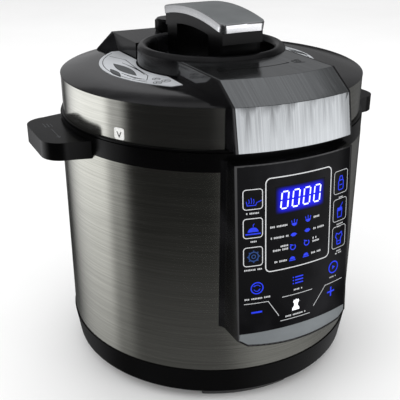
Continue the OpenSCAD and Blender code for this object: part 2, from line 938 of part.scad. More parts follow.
module handle_cap() {
    color("#a4a8ab") arch(arch_r, arch_r - cap_t, grip_w, grip_len);
}

module handle_screw_places() {
    for (side = [-1, 1]) translate([0, side * (pillar_end - pillar_t / 2), 0]) children();
}

module handle_base() {
    w = grip_w - 2 * bow_inset;
    color("#131313") difference() {
        union() {
            arch(arch_r - cap_t, arch_r - cap_t - bow_t, w, grip_len - 6);
            intersection() {
                for (side = [-1, 1]) translate([0, side * (pillar_end - pillar_t / 2), 0])
                    span([-w / 2, -pillar_t / 2, z_floor], [w / 2, pillar_t / 2, z_grip]);
                translate([0, 0, z_grip - arch_r]) rotate([0, 90, 0])
                    cylinder(h = w * 2, r = arch_r - cap_t - 1, center = true, $fn = 360);
                bar(0, big, ring_r - ring_w - 0.4, 96);
            }
        }
        handle_screw_places() bar(0, z_floor + 16, 2 + drill, 32);
    }
}

module handle_screws() {
    color("#c8cacc") handle_screw_places() translate([0, 0, z_floor - cover_t]) screw(4, 2.4, 2, 16);
}

// ---- Under the lid ----

module pressure_plate() {
    color("#bdbfc0") difference() {
        union() {
            tube(lid_plate_z, lid_plate_z + lid_plate_t, 0, plate_ro);
            tube(tooth_z, lid_plate_z + eps, plate_ri, plate_ro);
            teeth(tooth_z, tooth_z + tooth_t, plate_ro - eps, lock_tooth_ri - tooth_gap);
        }
        boss_places() bar(0, big, screw_r + drill, 32);
        translate([0, valve_y, 0]) bar(0, big, pipe_r + drill);
        translate([float_x, float_y, 0]) bar(0, big, float_r + run);
    }
}

module plate_screws() {
    color("#d0d2d3") boss_places() translate([0, 0, lid_plate_z]) screw(3.4, 1.5, screw_r, 18);
}

module sealing_gasket() {
    color("#d6d3cb") rotate_extrude() polygon([
        [plate_ri - 8.8, z_rim + 6], [plate_ri - 7.2, z_rim + 1.6], [plate_ri - 5.2, z_rim + 0.4],
        [plate_ri - 0.2, z_rim + 0.4], [plate_ri - 0.1, lid_plate_z - 0.1], [plate_ri - 5, lid_plate_z - 0.1],
        [plate_ri - 5, z_rim + 9], [plate_ri - 6, z_rim + 7.5], [plate_ri - 7.4, z_rim + 9.5]
    ]);
}

module gasket_rack() {
    rack_r = plate_ri - 10;
    color("#d7d9da") {
        rotate_extrude() translate([rack_r, z_rim + 8]) circle(r = 1, $fn = 24);
        around(6, 15) translate([rack_r, 0, 0]) bar(z_rim + 8, lid_plate_z, 0.7, 24);
    }
}

module steam_pipe() {
    color("#c6c8c9") translate([0, valve_y, 0]) difference() {
        union() {
            bar(lid_plate_z - 2, lid_plate_z, 8);
            bar(lid_plate_z - eps, z_housing - 1, pipe_r);
            bar(z_housing - 1 - eps, z_housing + knob_h - 3, neck_r);
        }
        bar(0, big, 1.6);
    }
}

module valve_shield() {
    color("#c9cbcc") translate([0, valve_y, 0]) difference() {
        bar(lid_plate_z - 9, lid_plate_z - 2, 11);
        bar(lid_plate_z - 8, lid_plate_z - 2 + eps, 10);
        around(10) span([5, -1.2, lid_plate_z - 7], [15, 1.2, lid_plate_z - 3.5]);
        around(6) translate([5.5, 0, 0]) bar(0, big, 1, 16);
    }
}

module valve_knob() {
    z0 = z_housing + 2 * seat;
    color("#101010") translate([0, valve_y, 0]) difference() {
        union() {
            bar(z0, z0 + knob_h - 1.5, knob_r, 96);
            bar(z0 + knob_h - 1.5, z0 + knob_h, knob_r - 1.5, 96);
        }
        bar(z0 - eps, z0 + knob_h - 2.5, neck_r + run);
        bar(z0 - eps, z0 + 2, knob_r - 6);
    }
}

module float_guide() {
    color("#c6c8c9") translate([float_x, float_y, 0])
        tube(lid_plate_z + lid_plate_t, z_floor - cover_t, float_r + 0.4, float_r + 2);
}

module float_valve() {
    color("#b3382f") translate([float_x, float_y, 0]) {
        bar(lid_plate_z - float_lift - 3.2, lid_plate_z - float_lift - 1.7, 5.2);
        bar(lid_plate_z - float_lift - 1.8, z_floor + seat, float_r);
        bar(z_floor + seat, z_floor + seat + 2.4, float_head_r);
    }
}

module float_seal() {
    color("#c96a5a") translate([float_x, float_y, 0])
        tube(lid_plate_z - float_lift - 1.7, lid_plate_z - float_lift - seat, float_r, 4.8);
}

// ---- Labels ----

// Plan of the printed sheet on one side of the deck, on the -X side
module label_plan() {
    intersection() {
        difference() {
            translate([0, label_y]) circle(r = label_r);
            circle(r = ring_r + 1.5);
        }
        translate([-big, label_front]) square([big - housing_w / 2 - 1.5, label_rear - label_front]);
    }
}

module lid_label() {
    difference() {
        intersection() {
            deck_solid(label_t);
            translate([0, 0, z_deck]) linear_extrude(40) label_plan();
        }
        deck_solid();
        bar(0, big, ring_r + 0.2, 96);
    }
}

module lid_label_left() {
    color("#9fa3a8") lid_label();
}

module lid_label_right() {
    color("#9fa3a8") mirror([1, 0, 0]) lid_label();
}

module alignment_mark() {
    color("#ececea") rotate([0, 0, mark_turn - mark_angle / 2]) rotate_extrude(angle = mark_angle)
        translate([lid_r, z_lid + 0.8]) square([0.3, mark_w]);
}

feet();
base_cover();
base_screws();
support_posts();
outer_shell();
heat_shield();
outer_pot();
heating_plate();
heating_element();
sensor_holder();
sensor_spring();
temperature_sensor();
pressure_switch();
thermal_fuse();
power_board();
power_board_parts();
wiring_loom();
inlet_bezel();
power_inlet();
inlet_pins();
inlet_screws();
upper_collar();
locking_ring();
ring_screws();
ring_nuts();
side_handle_left();
side_handle_right();
side_handle_screws();
panel_housing();
panel_window();
panel_accent();
control_board();
display_module();
panel_screws();
cup_bracket();
condensate_cup();
inner_pot();
lid_glide_ring();
lid_band();
lid_cover();
lid_fascia();
fascia_frame();
vent_housing();
centre_ring();
handle_base();
handle_cap();
handle_screws();
pressure_plate();
plate_screws();
sealing_gasket();
gasket_rack();
steam_pipe();
valve_shield();
valve_knob();
float_guide();
float_valve();
float_seal();
lid_label_left();
lid_label_right();
alignment_mark();
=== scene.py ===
"""Finished look of the electric pressure cooker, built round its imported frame."""
import json
import math

import bmesh
import bpy
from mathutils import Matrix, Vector
from mathutils.bvhtree import BVHTree


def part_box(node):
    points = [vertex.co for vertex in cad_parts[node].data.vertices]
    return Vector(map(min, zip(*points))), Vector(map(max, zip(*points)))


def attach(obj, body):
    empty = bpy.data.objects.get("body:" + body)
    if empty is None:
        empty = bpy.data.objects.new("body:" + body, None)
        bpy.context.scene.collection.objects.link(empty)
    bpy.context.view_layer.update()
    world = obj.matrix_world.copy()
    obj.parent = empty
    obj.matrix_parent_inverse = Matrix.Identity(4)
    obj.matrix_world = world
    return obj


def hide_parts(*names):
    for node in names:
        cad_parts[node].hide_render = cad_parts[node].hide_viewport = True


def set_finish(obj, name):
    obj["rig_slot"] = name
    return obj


bl_info = {
    "name": "Electric pressure cooker",
    "version": (1, 0, 0),
    "blender": (4, 5, 0),
    "location": "3D View > Sidebar > Cooker",
    "description": "Dresses the cooker's frame: finishes, rounded mouldings, printed panel and studio",
    "category": "Object",
}

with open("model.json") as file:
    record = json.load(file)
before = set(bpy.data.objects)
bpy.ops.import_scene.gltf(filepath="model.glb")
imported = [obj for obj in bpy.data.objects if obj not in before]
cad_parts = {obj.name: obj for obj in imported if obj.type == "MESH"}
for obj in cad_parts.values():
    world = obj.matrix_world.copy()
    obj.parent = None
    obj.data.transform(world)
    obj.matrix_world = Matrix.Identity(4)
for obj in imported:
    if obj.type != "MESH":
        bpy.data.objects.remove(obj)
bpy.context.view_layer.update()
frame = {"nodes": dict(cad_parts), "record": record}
NODES = frame["nodes"]
BODY_OF = {n: b for b, members in frame["record"]["behaviour"]["bodies"].items() for n in members}
SLOT_OF = {s["node"]: s["material_slot"] for s in frame["record"]["subparts"]}
MM = 0.001
WINDOW_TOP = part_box("panel_window")[1].z / MM


# ---- Shader maths and node making ----

class Value:
    """A shader socket in arithmetic: each operation adds one Math node to its finish."""

    def __init__(self, finish, socket):
        self.finish = finish
        self.socket = socket

    def __add__(self, other):
        return self.finish.maths("ADD", self, other)

    __radd__ = __add__

    def __mul__(self, other):
        return self.finish.maths("MULTIPLY", self, other)

    __rmul__ = __mul__

    def __sub__(self, other):
        return self.finish.maths("SUBTRACT", self, other)

    def __rsub__(self, other):
        return self.finish.maths("SUBTRACT", other, self)

    def step(self, low, high):
        """0 below low, 1 above high, smooth between them."""
        return self.finish.node("ShaderNodeMapRange", {"interpolation_type": "SMOOTHSTEP"},
                                {"Value": self, "From Min": low, "From Max": high})


class Finish:
    """One material or the world while its nodes are being made."""

    def __init__(self, name, tree=None):
        if tree is None:
            self.material = bpy.data.materials.new(name)
            self.material.use_nodes = True
            tree = self.material.node_tree
            self.shader = tree.nodes["Principled BSDF"]
        self.tree = tree

    def plug(self, value, socket):
        """Links a value or a socket into a socket, or sets its number or colour."""
        if isinstance(value, Value):
            value = value.socket
        if isinstance(value, bpy.types.NodeSocket):
            self.tree.links.new(value, socket)
        elif socket.type == "RGBA" and len(value) == 3:
            socket.default_value = (*value, 1)
        else:
            socket.default_value = value

    def node(self, kind, settings=None, inputs=None, output=0):
        """Adds a node, sets its settings first and then its sockets, and returns one output."""
        made = self.tree.nodes.new(kind)
        for name, setting in (settings or {}).items():
            setattr(made, name, setting)
        for name, value in (inputs or {}).items():
            self.plug(value, made.inputs[name])
        return Value(self, made.outputs[output])

    def maths(self, operation, *values):
        return self.node("ShaderNodeMath", {"operation": operation}, dict(enumerate(values)))

    def place(self, scale=(1, 1, 1), source="Object"):
        """Coordinates of the surface, stretched by a scale."""
        seen = self.node("ShaderNodeTexCoord", output=source)
        return self.node("ShaderNodeMapping", inputs={"Vector": seen, "Scale": scale})

    def axes(self, source="Object"):
        """The three coordinates of the surface as separate values."""
        parts = self.tree.nodes.new("ShaderNodeSeparateXYZ")
        self.plug(self.place(source=source), parts.inputs[0])
        return [Value(self, out) for out in parts.outputs]

    def noise(self, scale, detail=3, rough=0.55):
        """Noise value; scale is a number, or three numbers to stretch it."""
        sizes = scale if isinstance(scale, tuple) else (scale, scale, scale)
        return self.node("ShaderNodeTexNoise", {"noise_dimensions": "3D"},
                         {"Vector": self.place(sizes), "Scale": 1.0, "Detail": detail,
                          "Roughness": rough})

    def mix(self, factor, first, second):
        """Colour between two colours."""
        return self.node("ShaderNodeMix", {"data_type": "RGBA"},
                         {"Factor": factor, 6: first, 7: second}, output=2)

    def bump(self, height, depth, strength=1.0):
        """Sends a height, in shares of a depth in metres, to the shader's normal."""
        self.plug(self.node("ShaderNodeBump", None,
                            {"Strength": strength, "Distance": depth, "Height": height}),
                  self.shader.inputs["Normal"])

    def set(self, **sockets):
        """Sets the shader's sockets; Base_Color stands for Base Color."""
        for name, value in sockets.items():
            self.plug(value, self.shader.inputs[name.replace("_", " ")])
        return self.material


# ---- Finishes ----

def shade(colour, by):
    return tuple(min(1.0, c * by) for c in colour)


def brushed(name, colour, scale, rough, streak):
    """Metal with fine scratches; scale is large across the scratches and small along them."""
    f = Finish(name)
    fine = f.noise(scale, 4, 0.7)
    broad = f.noise(tuple(s * 0.45 + 2 for s in scale), 3, 0.7)
    cloud = f.noise(9, 2)
    tone = fine * 0.4 + broad * 0.6
    f.set(Metallic=1.0, Roughness=rough + (tone - 0.5) * 0.1 + (cloud - 0.5) * 0.05,
          Base_Color=f.mix(tone.step(0.3, 0.7), shade(colour, 1 - streak),
                           shade(colour, 1 + streak * 0.4)))
    f.bump(fine, 0.00001, 0.2)
    return f.material


def moulded(name, colour, rough, grain, depth, spread=0.06, sheen=0.0, metal=0.0, shine=0.5):
    """Moulded plastic, rubber or cast metal with a fine grain, faint flow marks and dust."""
    f = Finish(name)
    pores = f.noise(grain, 2, 0.6)
    flow = f.noise((18, 18, 30), 3)
    dust = f.noise(900, 1).step(0.72, 0.8) * f.noise(40, 2).step(0.45, 0.7)
    f.set(Metallic=metal,
          Roughness=rough + (flow - 0.5) * spread * 2 + (pores - 0.5) * spread + dust * 0.25,
          Base_Color=f.mix(flow.step(0.3, 0.7) * 0.6 + pores * 0.3 + dust * 0.5,
                           shade(colour, 0.85), shade(colour, 1.25)))
    f.bump(pores, depth, 0.4)
    return f.set(Sheen_Weight=sheen, Specular_IOR_Level=shine)


def gloss(name, colour, rough, wave=0.00002, shine=0.5, coat=0.25):
    """Polished plastic: slight ripple, finger haze and rare specks of dust."""
    f = Finish(name)
    ripple = f.noise(60, 2)
    haze = f.noise(14, 3).step(0.42, 0.75)
    speck = f.noise(1100, 1).step(0.76, 0.82)
    f.set(Roughness=rough + haze * 0.09 + speck * 0.3,
          Base_Color=f.mix(speck * 0.5 + haze * 0.12, colour, (0.09, 0.09, 0.1)))
    f.bump(ripple + speck * 0.3, wave, 0.5)
    return f.set(Coat_Weight=coat, Coat_Roughness=0.05, Specular_IOR_Level=shine)


def glow(name, colour, strength, base=(0.002, 0.003, 0.012)):
    """Lit symbol; its light is a little uneven, as a diode behind a mask is."""
    f = Finish(name)
    uneven = f.noise(220, 2)
    f.set(Base_Color=base, Roughness=0.35 + (uneven - 0.5) * 0.1,
          Emission_Color=f.mix(uneven.step(0.25, 0.75), shade(colour, 0.72), colour))
    return f.set(Emission_Strength=strength)


def haze_glow(name, colour, strength):
    """Light that spreads behind the digits and fades to nothing at its patch's edges."""
    f = Finish(name)
    u, v, _ = f.axes("UV")
    inside = (u * (1 - u) * 4).step(0.0, 0.55) * (v * (1 - v) * 4).step(0.0, 0.75)
    f.set(Base_Color=(0.0015, 0.0015, 0.002), Roughness=0.1, Specular_IOR_Level=0.08,
          Emission_Color=f.mix(inside, (0, 0, 0), colour))
    return f.set(Emission_Strength=strength)


def printed(name, colour, rough):
    """Screen-printed ink: slightly worn and uneven."""
    f = Finish(name)
    wear = f.noise(700, 3)
    f.set(Base_Color=f.mix(wear.step(0.3, 0.7), shade(colour, 0.8), colour),
          Roughness=rough + (wear - 0.5) * 0.2)
    return f.set(Specular_IOR_Level=0.1)


def board(name, colour):
    """Circuit board: solder mask with traces and tinned pads."""
    f = Finish(name)
    trace = f.node("ShaderNodeTexBrick", {"offset": 0.5},
                   {"Vector": f.place(), "Scale": 160.0, "Mortar Size": 0.035}, output=1)
    pads = f.node("ShaderNodeTexVoronoi", {"feature": "F1"}, {"Vector": f.place(), "Scale": 230.0})
    tin = 1 - pads.step(0.18, 0.24)
    f.set(Base_Color=f.mix(tin, f.mix(trace, colour, shade(colour, 2.2)), (0.7, 0.7, 0.68)),
          Metallic=tin, Roughness=0.35 + tin * 0.1)
    f.bump(trace * 0.4 + tin, 0.0001)
    return f.material


def clear(name, colour):
    """Smoked clear plastic."""
    f = Finish(name)
    haze = f.noise(30, 3)
    f.set(Base_Color=colour, Roughness=0.08 + haze * 0.12, Alpha=0.42 + haze * 0.1)
    f.bump(f.noise(50, 2), 0.00003)
    return f.set(IOR=1.49)


def film(name, colour):
    """Silver printed film with a faint satin weave of flakes."""
    f = Finish(name)
    flake = f.node("ShaderNodeTexVoronoi", {"feature": "F1"},
                   {"Vector": f.place(), "Scale": 2600.0}, output=1)
    tone = f.noise(24, 2)
    f.set(Base_Color=f.mix(tone.step(0.3, 0.7), shade(colour, 0.85), shade(colour, 1.1)),
          Metallic=0.2, Roughness=0.3 + tone * 0.12)
    f.bump(flake, 0.00001, 0.3)
    return f.material


ROUND = (12, 12, 1500)
UPRIGHT = (1100, 10, 10)
EVEN = (500, 500, 500)
JET = (0.002, 0.002, 0.0023)
SATIN = {"grain": 2600, "depth": 0.00001}
PIGMENT = {"grain": 1200, "depth": 0.00003}

# Each finish: its maker, its colour or the setting that holds it, and its maker's sizes.
FINISHES = {
    "black_plastic": (moulded, (0.001, 0.001, 0.0011),
                      {"rough": 0.25, "grain": 1600, "depth": 0.00002, "shine": 0.18}),
    "black_gloss": (gloss, JET, {"rough": 0.08}),
    "rear_gloss": (gloss, JET, {"rough": 0.14, "shine": 0.1, "coat": 0.0}),
    "ring_gloss": (gloss, JET, {"rough": 0.22, "shine": 0.4, "coat": 0.0}),
    "matte_black": (moulded, (0.0014, 0.0014, 0.0015),
                    {"rough": 0.4, "grain": 1300, "depth": 0.00004, "shine": 0.18}),
    "shell_steel": (brushed, "shell", {"scale": ROUND, "rough": 0.17, "streak": 0.2}),
    "band_steel": (brushed, "band", {"scale": ROUND, "rough": 0.15, "streak": 0.2}),
    "fascia_silver": (brushed, "fascia", {"scale": UPRIGHT, "rough": 0.2, "streak": 0.2}),
    "cap_silver": (moulded, "cap", {"rough": 0.34, "spread": 0.05, "metal": 0.75, **SATIN}),
    "cap_edge": (moulded, (0.88, 0.9, 0.92), {"rough": 0.2, "spread": 0.04, "metal": 1.0, **SATIN}),
    "accent_silver": (moulded, (0.24, 0.26, 0.27),
                      {"rough": 0.4, "spread": 0.05, "metal": 0.6, **SATIN}),
    "window_black": (gloss, (0.0015, 0.0015, 0.002),
                     {"rough": 0.1, "wave": 0.00001, "shine": 0.08, "coat": 0.0}),
    "pot_steel": (brushed, (0.6, 0.6, 0.6), {"scale": ROUND, "rough": 0.28, "streak": 0.25}),
    "liner_metal": (brushed, (0.6, 0.6, 0.61), {"scale": ROUND, "rough": 0.42, "streak": 0.2}),
    "cast_aluminium": (moulded, (0.6, 0.6, 0.6),
                       {"rough": 0.45, "grain": 700, "depth": 0.0001, "spread": 0.1, "metal": 1.0}),
    "bright_steel": (brushed, (0.7, 0.7, 0.71), {"scale": EVEN, "rough": 0.22, "streak": 0.12}),
    "element_sheath": (moulded, (0.1, 0.1, 0.11),
                       {"rough": 0.5, "grain": 900, "depth": 0.00008, "spread": 0.1, "metal": 0.8}),
    "silicone": (moulded, (0.62, 0.6, 0.55), {"rough": 0.45, "spread": 0.05, "sheen": 0.2, **PIGMENT}),
    "red_silicone": (moulded, (0.55, 0.07, 0.05),
                     {"rough": 0.45, "spread": 0.05, "sheen": 0.2, **PIGMENT}),
    "float_red": (moulded, (0.5, 0.04, 0.03),
                  {"rough": 0.3, "grain": 1500, "depth": 0.00002, "spread": 0.05, "metal": 0.5}),
    "foot_rubber": (moulded, (0.012, 0.012, 0.013),
                    {"rough": 0.7, "grain": 900, "depth": 0.00012, "spread": 0.08, "sheen": 0.15}),
    "board_green": (board, (0.012, 0.1, 0.04), {}),
    "component_dark": (moulded, (0.025, 0.025, 0.032), {"rough": 0.42, "grain": 1000, "depth": 0.00004}),
    "wire_red": (moulded, (0.35, 0.03, 0.02), {"rough": 0.38, **PIGMENT}),
    "fuse_ceramic": (moulded, (0.7, 0.68, 0.6), {"rough": 0.55, "grain": 800, "depth": 0.00006}),
    "clear_plastic": (clear, (0.55, 0.6, 0.63), {}),
    "label_silver": (film, (0.6, 0.62, 0.65), {}),
    "mark_white": (printed, (0.82, 0.82, 0.8), {"rough": 0.4}),
    "ink_white": (printed, (0.72, 0.73, 0.74), {"rough": 0.5}),
    "ink_grey": (printed, (0.6, 0.61, 0.62), {"rough": 0.5}),
    "ink_dark": (printed, (0.002, 0.002, 0.002), {"rough": 0.8}),
    "ink_steel": (printed, (0.1, 0.105, 0.11), {"rough": 0.5}),
    "digit_light": (glow, "digits", {"strength": 2.2}),
    "symbol_light": (glow, "symbols", {"strength": 1.1}),
    "symbol_dim": (glow, (0.004, 0.05, 0.22), {"strength": 1.0}),
    "symbol_white": (glow, (0.9, 0.93, 1.0), {"strength": 1.1, "base": (0.5, 0.5, 0.5)}),
    "display_haze": (haze_glow, (0.012, 0.012, 0.9), {"strength": 1.0}),
}


def finish(name):
    """The material of that name, made the first time it is asked for."""
    own = f"{name}_finish"
    made = bpy.data.materials.get(own)
    if made is None:
        maker, colour, sizes = FINISHES[name]
        if isinstance(colour, str):
            colour = tuple(getattr(bpy.context.scene.cooker_colours, colour))
        made = maker(own, colour, **sizes)
    return made


# ---- Making and placing pieces ----

def add_piece(name, bm, body, slot, materials, replaces=(), smooth=30):
    """Turns a bmesh into a finished piece that rides on a body."""
    mesh = bpy.data.meshes.new(name)
    bm.to_mesh(mesh)
    bm.free()
    piece = bpy.data.objects.new(name, mesh)
    bpy.context.scene.collection.objects.link(piece)
    for material in materials:
        mesh.materials.append(finish(material))
    mesh.polygons.foreach_set("use_smooth", [True] * len(mesh.polygons))
    mesh.set_sharp_from_angle(angle=math.radians(smooth))
    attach(piece, body)
    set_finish(piece, slot)
    if replaces:
        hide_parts(*replaces)
    return piece


def copy_of(node):
    """A frame piece's shape as a joined bmesh with its flat faces in one."""
    bm = bmesh.new()
    bm.from_mesh(NODES[node].data)
    bmesh.ops.remove_doubles(bm, verts=bm.verts, dist=2e-6)
    bmesh.ops.dissolve_limit(bm, angle_limit=math.radians(0.4), verts=bm.verts, edges=bm.edges)
    return bm


def round_edges(piece, width):
    """Gives a piece moulded edges of a width in millimetres."""
    bevel = piece.modifiers.new("Moulded edges", "BEVEL")
    bevel.width = width * MM
    bevel.segments = 3
    bevel.limit_method = "ANGLE"
    bevel.angle_limit = math.radians(28)
    bevel.miter_outer = "MITER_ARC"
    bevel.use_clamp_overlap = True
    bevel.harden_normals = True


class Skin:
    """The outside of a frame piece, found from the front or from above, for prints.

    Heights seen from the front count from the zero, in millimetres.
    """

    def __init__(self, node, view, zero=0.0):
        mesh = NODES[node].data
        self.tree = BVHTree.FromPolygons([v.co for v in mesh.vertices],
                                         [tuple(p.vertices) for p in mesh.polygons])
        self.view = view
        self.zero = zero

    def at(self, u, v, lift):
        """Point over the surface; u and v in millimetres, across and up or back."""
        if self.view == "front":
            start, ray = Vector((u * MM, -1, (v + self.zero) * MM)), Vector((0, 1, 0))
        else:
            start, ray = Vector((u * MM, v * MM, 1)), Vector((0, 0, -1))
        hit = self.tree.ray_cast(start, ray)[0]
        if hit is None:
            raise ValueError(f"a print runs off its surface at {u:.1f}, {v:.1f}")
        return hit - ray * lift * MM


def arc(u, v, r, start=0, end=360, steps=24):
    """Points along an arc, in degrees."""
    return [(u + r * math.cos(math.radians(start + (end - start) * i / steps)),
             v + r * math.sin(math.radians(start + (end - start) * i / steps)))
            for i in range(steps + 1)]


def rounded(u0, v0, u1, v1, r, steps=6):
    """Outline of a rectangle with round corners."""
    corners = ((u1 - r, v1 - r, 0), (u0 + r, v1 - r, 90),
               (u0 + r, v0 + r, 180), (u1 - r, v0 + r, 270))
    return [p for u, v, turn in corners for p in arc(u, v, r, turn, turn + 90, steps)]


SHARPEST_MITRE = 0.45
BLOCK = 1.05
BLOCK_GAP = 0.4


class Print:
    """Thin closed shapes drawn in millimetres on a skin."""

    def __init__(self, skin, top=0.1, base=-0.05):
        self.skin = skin
        self.levels = (base, top)
        self.bm = bmesh.new()

    def point(self, u, v, lift):
        return self.bm.verts.new(self.skin.at(u, v, lift))

    def solid(self, outline):
        """Filled shape."""
        low, high = ([self.point(u, v, lift) for u, v in outline] for lift in self.levels)
        self.bm.faces.new(high)
        self.bm.faces.new(reversed(low))
        for i in range(len(outline)):
            j = (i + 1) % len(outline)
            self.bm.faces.new((low[i], low[j], high[j], high[i]))

    def line(self, points, width, closed=False, step=2.5):
        """Line of even width through the points, with mitred corners."""
        if closed and math.dist(points[0], points[-1]) < 1e-6:
            points = points[:-1]
        path = []
        for a, b in zip(points, points[1:] + points[:1] if closed else points[1:]):
            count = max(1, math.ceil(math.dist(a, b) / step))
            path += [(a[0] + (b[0] - a[0]) * i / count, a[1] + (b[1] - a[1]) * i / count)
                     for i in range(count)]
        if not closed:
            path.append(points[-1])
        rows = []
        for i, (u, v) in enumerate(path):
            before = path[i - 1] if closed or i else path[i]
            after = path[(i + 1) % len(path)] if closed or i + 1 < len(path) else path[i]
            ways = [Vector((q[0] - p[0], q[1] - p[1])).normalized()
                    for p, q in ((before, (u, v)), ((u, v), after)) if math.dist(p, q) > 1e-9]
            normals = [Vector((-w.y, w.x)) for w in ways]
            side = sum(normals, Vector((0, 0))).normalized()
            side *= width / 2 / max(SHARPEST_MITRE, side.dot(normals[0]))
            low, high = self.levels
            rows.append([self.point(u + way * side.x, v + way * side.y, lift)
                         for way, lift in ((1, low), (-1, low), (-1, high), (1, high))])
        for first, second in zip(rows, rows[1:] + rows[:1] if closed else rows[1:]):
            for k in range(4):
                n = (k + 1) % 4
                self.bm.faces.new((first[k], first[n], second[n], second[k]))
        if not closed:
            self.bm.faces.new(rows[0])
            self.bm.faces.new(reversed(rows[-1]))

    def lines(self, width, *paths):
        for path in paths:
            self.line(list(path), width)

    def disc(self, u, v, r, steps=20):
        self.solid(arc(u, v, r, steps=steps)[:-1])

    def caption(self, u0, u1, v, height):
        """Row of small blocks in place of wording, with a gap here and there."""
        count = max(2, round((u1 - u0) / (BLOCK + BLOCK_GAP)))
        pitch = (u1 - u0) / count
        for i in range(count):
            if (i * 7 + int(v + self.skin.zero)) % 8 != 3:
                start = u0 + pitch * i
                self.line([(start, v), (start + pitch - BLOCK_GAP, v)], height * (1.0, 0.8, 0.9)[i % 3])

    def piece(self, name, body, slot, material):
        bmesh.ops.recalc_face_normals(self.bm, faces=self.bm.faces)
        return add_piece(name, self.bm, body, slot, [material])


# ---- Sizes and colours that a user may change ----

def colour(name, description, default):
    """A colour setting."""
    return bpy.props.FloatVectorProperty(name=name, description=description, default=default,
                                         subtype="COLOR", min=0, max=1)


def length(name, description, size, least):
    """A length setting; its size is given in millimetres here and held in metres."""
    return bpy.props.FloatProperty(name=name, description=description, default=size * MM,
                                   min=least * MM, unit="LENGTH", precision=4)


class StudioSettings(bpy.types.PropertyGroup):
    key_power: bpy.props.FloatProperty(
        name="Key light", description="Power of the large light at the left, in watts", default=9, min=0)
    top_power: bpy.props.FloatProperty(
        name="Top light", description="Power of the overhead light, in watts", default=9, min=0)
    side_power: bpy.props.FloatProperty(
        name="Side light", description="Power of the light at the right, in watts", default=7, min=0)
    page: colour("Backdrop", "Colour of the floor and backdrop", (0.96, 0.96, 0.96))
    floor_radius: length("Floor radius", "Radius of the pale floor", 6000, 1000)


class ColourSettings(bpy.types.PropertyGroup):
    shell: colour("Shell steel", "Colour of the brushed drum", (0.53, 0.53, 0.475))
    band: colour("Band steel", "Colour of the brushed band round the lid", (0.55, 0.55, 0.5))
    fascia: colour("Fascia", "Colour of the lid's silver fascia", (0.53, 0.55, 0.56))
    cap: colour("Handle cap", "Colour of the handle cap's satin top", (0.36, 0.38, 0.39))
    digits: colour("Digits", "Light of the display's digits", (0.72, 0.8, 1.0))
    symbols: colour("Symbols", "Light of the panel's touch symbols", (0.004, 0.035, 0.95))


class MouldingSettings(bpy.types.PropertyGroup):
    edge: bpy.props.FloatProperty(
        name="Edge rounding", description="Multiplies the radius of every moulded edge",
        default=1.0, min=0.1, soft_max=2.0, subtype="FACTOR")
    cap_edge: length("Cap edge radius", "Radius of the handle cap's edges", 1.6, 0.1)
    rib_size: length("Rib width", "Width of one of the knob's grip ribs", 1.3, 0.4)
    rib_count: bpy.props.IntProperty(
        name="Knob ribs", description="Number of grip ribs round the steam valve's knob",
        default=36, min=8)
    grip_count: bpy.props.IntProperty(
        name="Handle ribs", description="Number of ribs under each side handle", default=8, min=2)
    level_count: bpy.props.IntProperty(
        name="Level marks", description="Number of level marks in the inner pot", default=9, min=2)


class PanelSettings(bpy.types.PropertyGroup):
    window_frame: length("Frame line", "Width of the white frame round the programmes", 0.9, 0.3)
    digit_height: length("Digit height", "Height of the display's digits", 14.5, 8)
    digit_slant: length("Digit slant", "Sideways lean of a digit's top", 1.3, 0)


# ---- Geometry Nodes ----

def node_tree(name, sizes, build):
    """A geometry tree with named number inputs, ending in Realize Instances and Set Material."""
    tree = bpy.data.node_groups.new(name, "GeometryNodeTree")
    tree.interface.new_socket("Geometry", in_out="INPUT", socket_type="NodeSocketGeometry")
    for label, (kind, default) in sizes.items():
        tree.interface.new_socket(label, in_out="INPUT", socket_type=kind).default_value = default
    tree.interface.new_socket("Material", in_out="INPUT", socket_type="NodeSocketMaterial")
    tree.interface.new_socket("Geometry", in_out="OUTPUT", socket_type="NodeSocketGeometry")
    maker = Finish(name, tree)
    entry = tree.nodes.new("NodeGroupInput")
    shape = build(maker, {s.name: Value(maker, s) for s in entry.outputs if s.name})
    real = maker.node("GeometryNodeRealizeInstances", None, {"Geometry": shape})
    painted = maker.node("GeometryNodeSetMaterial", None,
                         {"Geometry": real, "Material": entry.outputs["Material"]})
    leave = tree.nodes.new("NodeGroupOutput")
    maker.plug(painted, leave.inputs[0])
    return tree


def grown(name, tree, values, material, body, slot):
    """Bakes a geometry tree into a plain piece and puts it on its body."""
    mesh = bpy.data.meshes.new(name + "_seed")
    mesh.from_pydata([(0, 0, 0)], [], [])
    holder = bpy.data.objects.new(name + "_seed", mesh)
    bpy.context.scene.collection.objects.link(holder)
    modifier = holder.modifiers.new("Growth", "NODES")
    modifier.node_group = tree
    for item in tree.interface.items_tree:
        if item.in_out == "INPUT" and item.name in values:
            modifier[item.identifier] = values[item.name]
        elif item.in_out == "INPUT" and item.name == "Material":
            modifier[item.identifier] = finish(material)
    view = bpy.context.evaluated_depsgraph_get()
    baked = bpy.data.meshes.new_from_object(holder.evaluated_get(view))
    holder.modifiers.remove(modifier)
    bpy.data.objects.remove(holder)
    bm = bmesh.new()
    bm.from_mesh(baked)
    bmesh.ops.recalc_face_normals(bm, faces=bm.faces)
    bpy.data.meshes.remove(baked)
    return add_piece(name, bm, body, slot, [material], smooth=40)


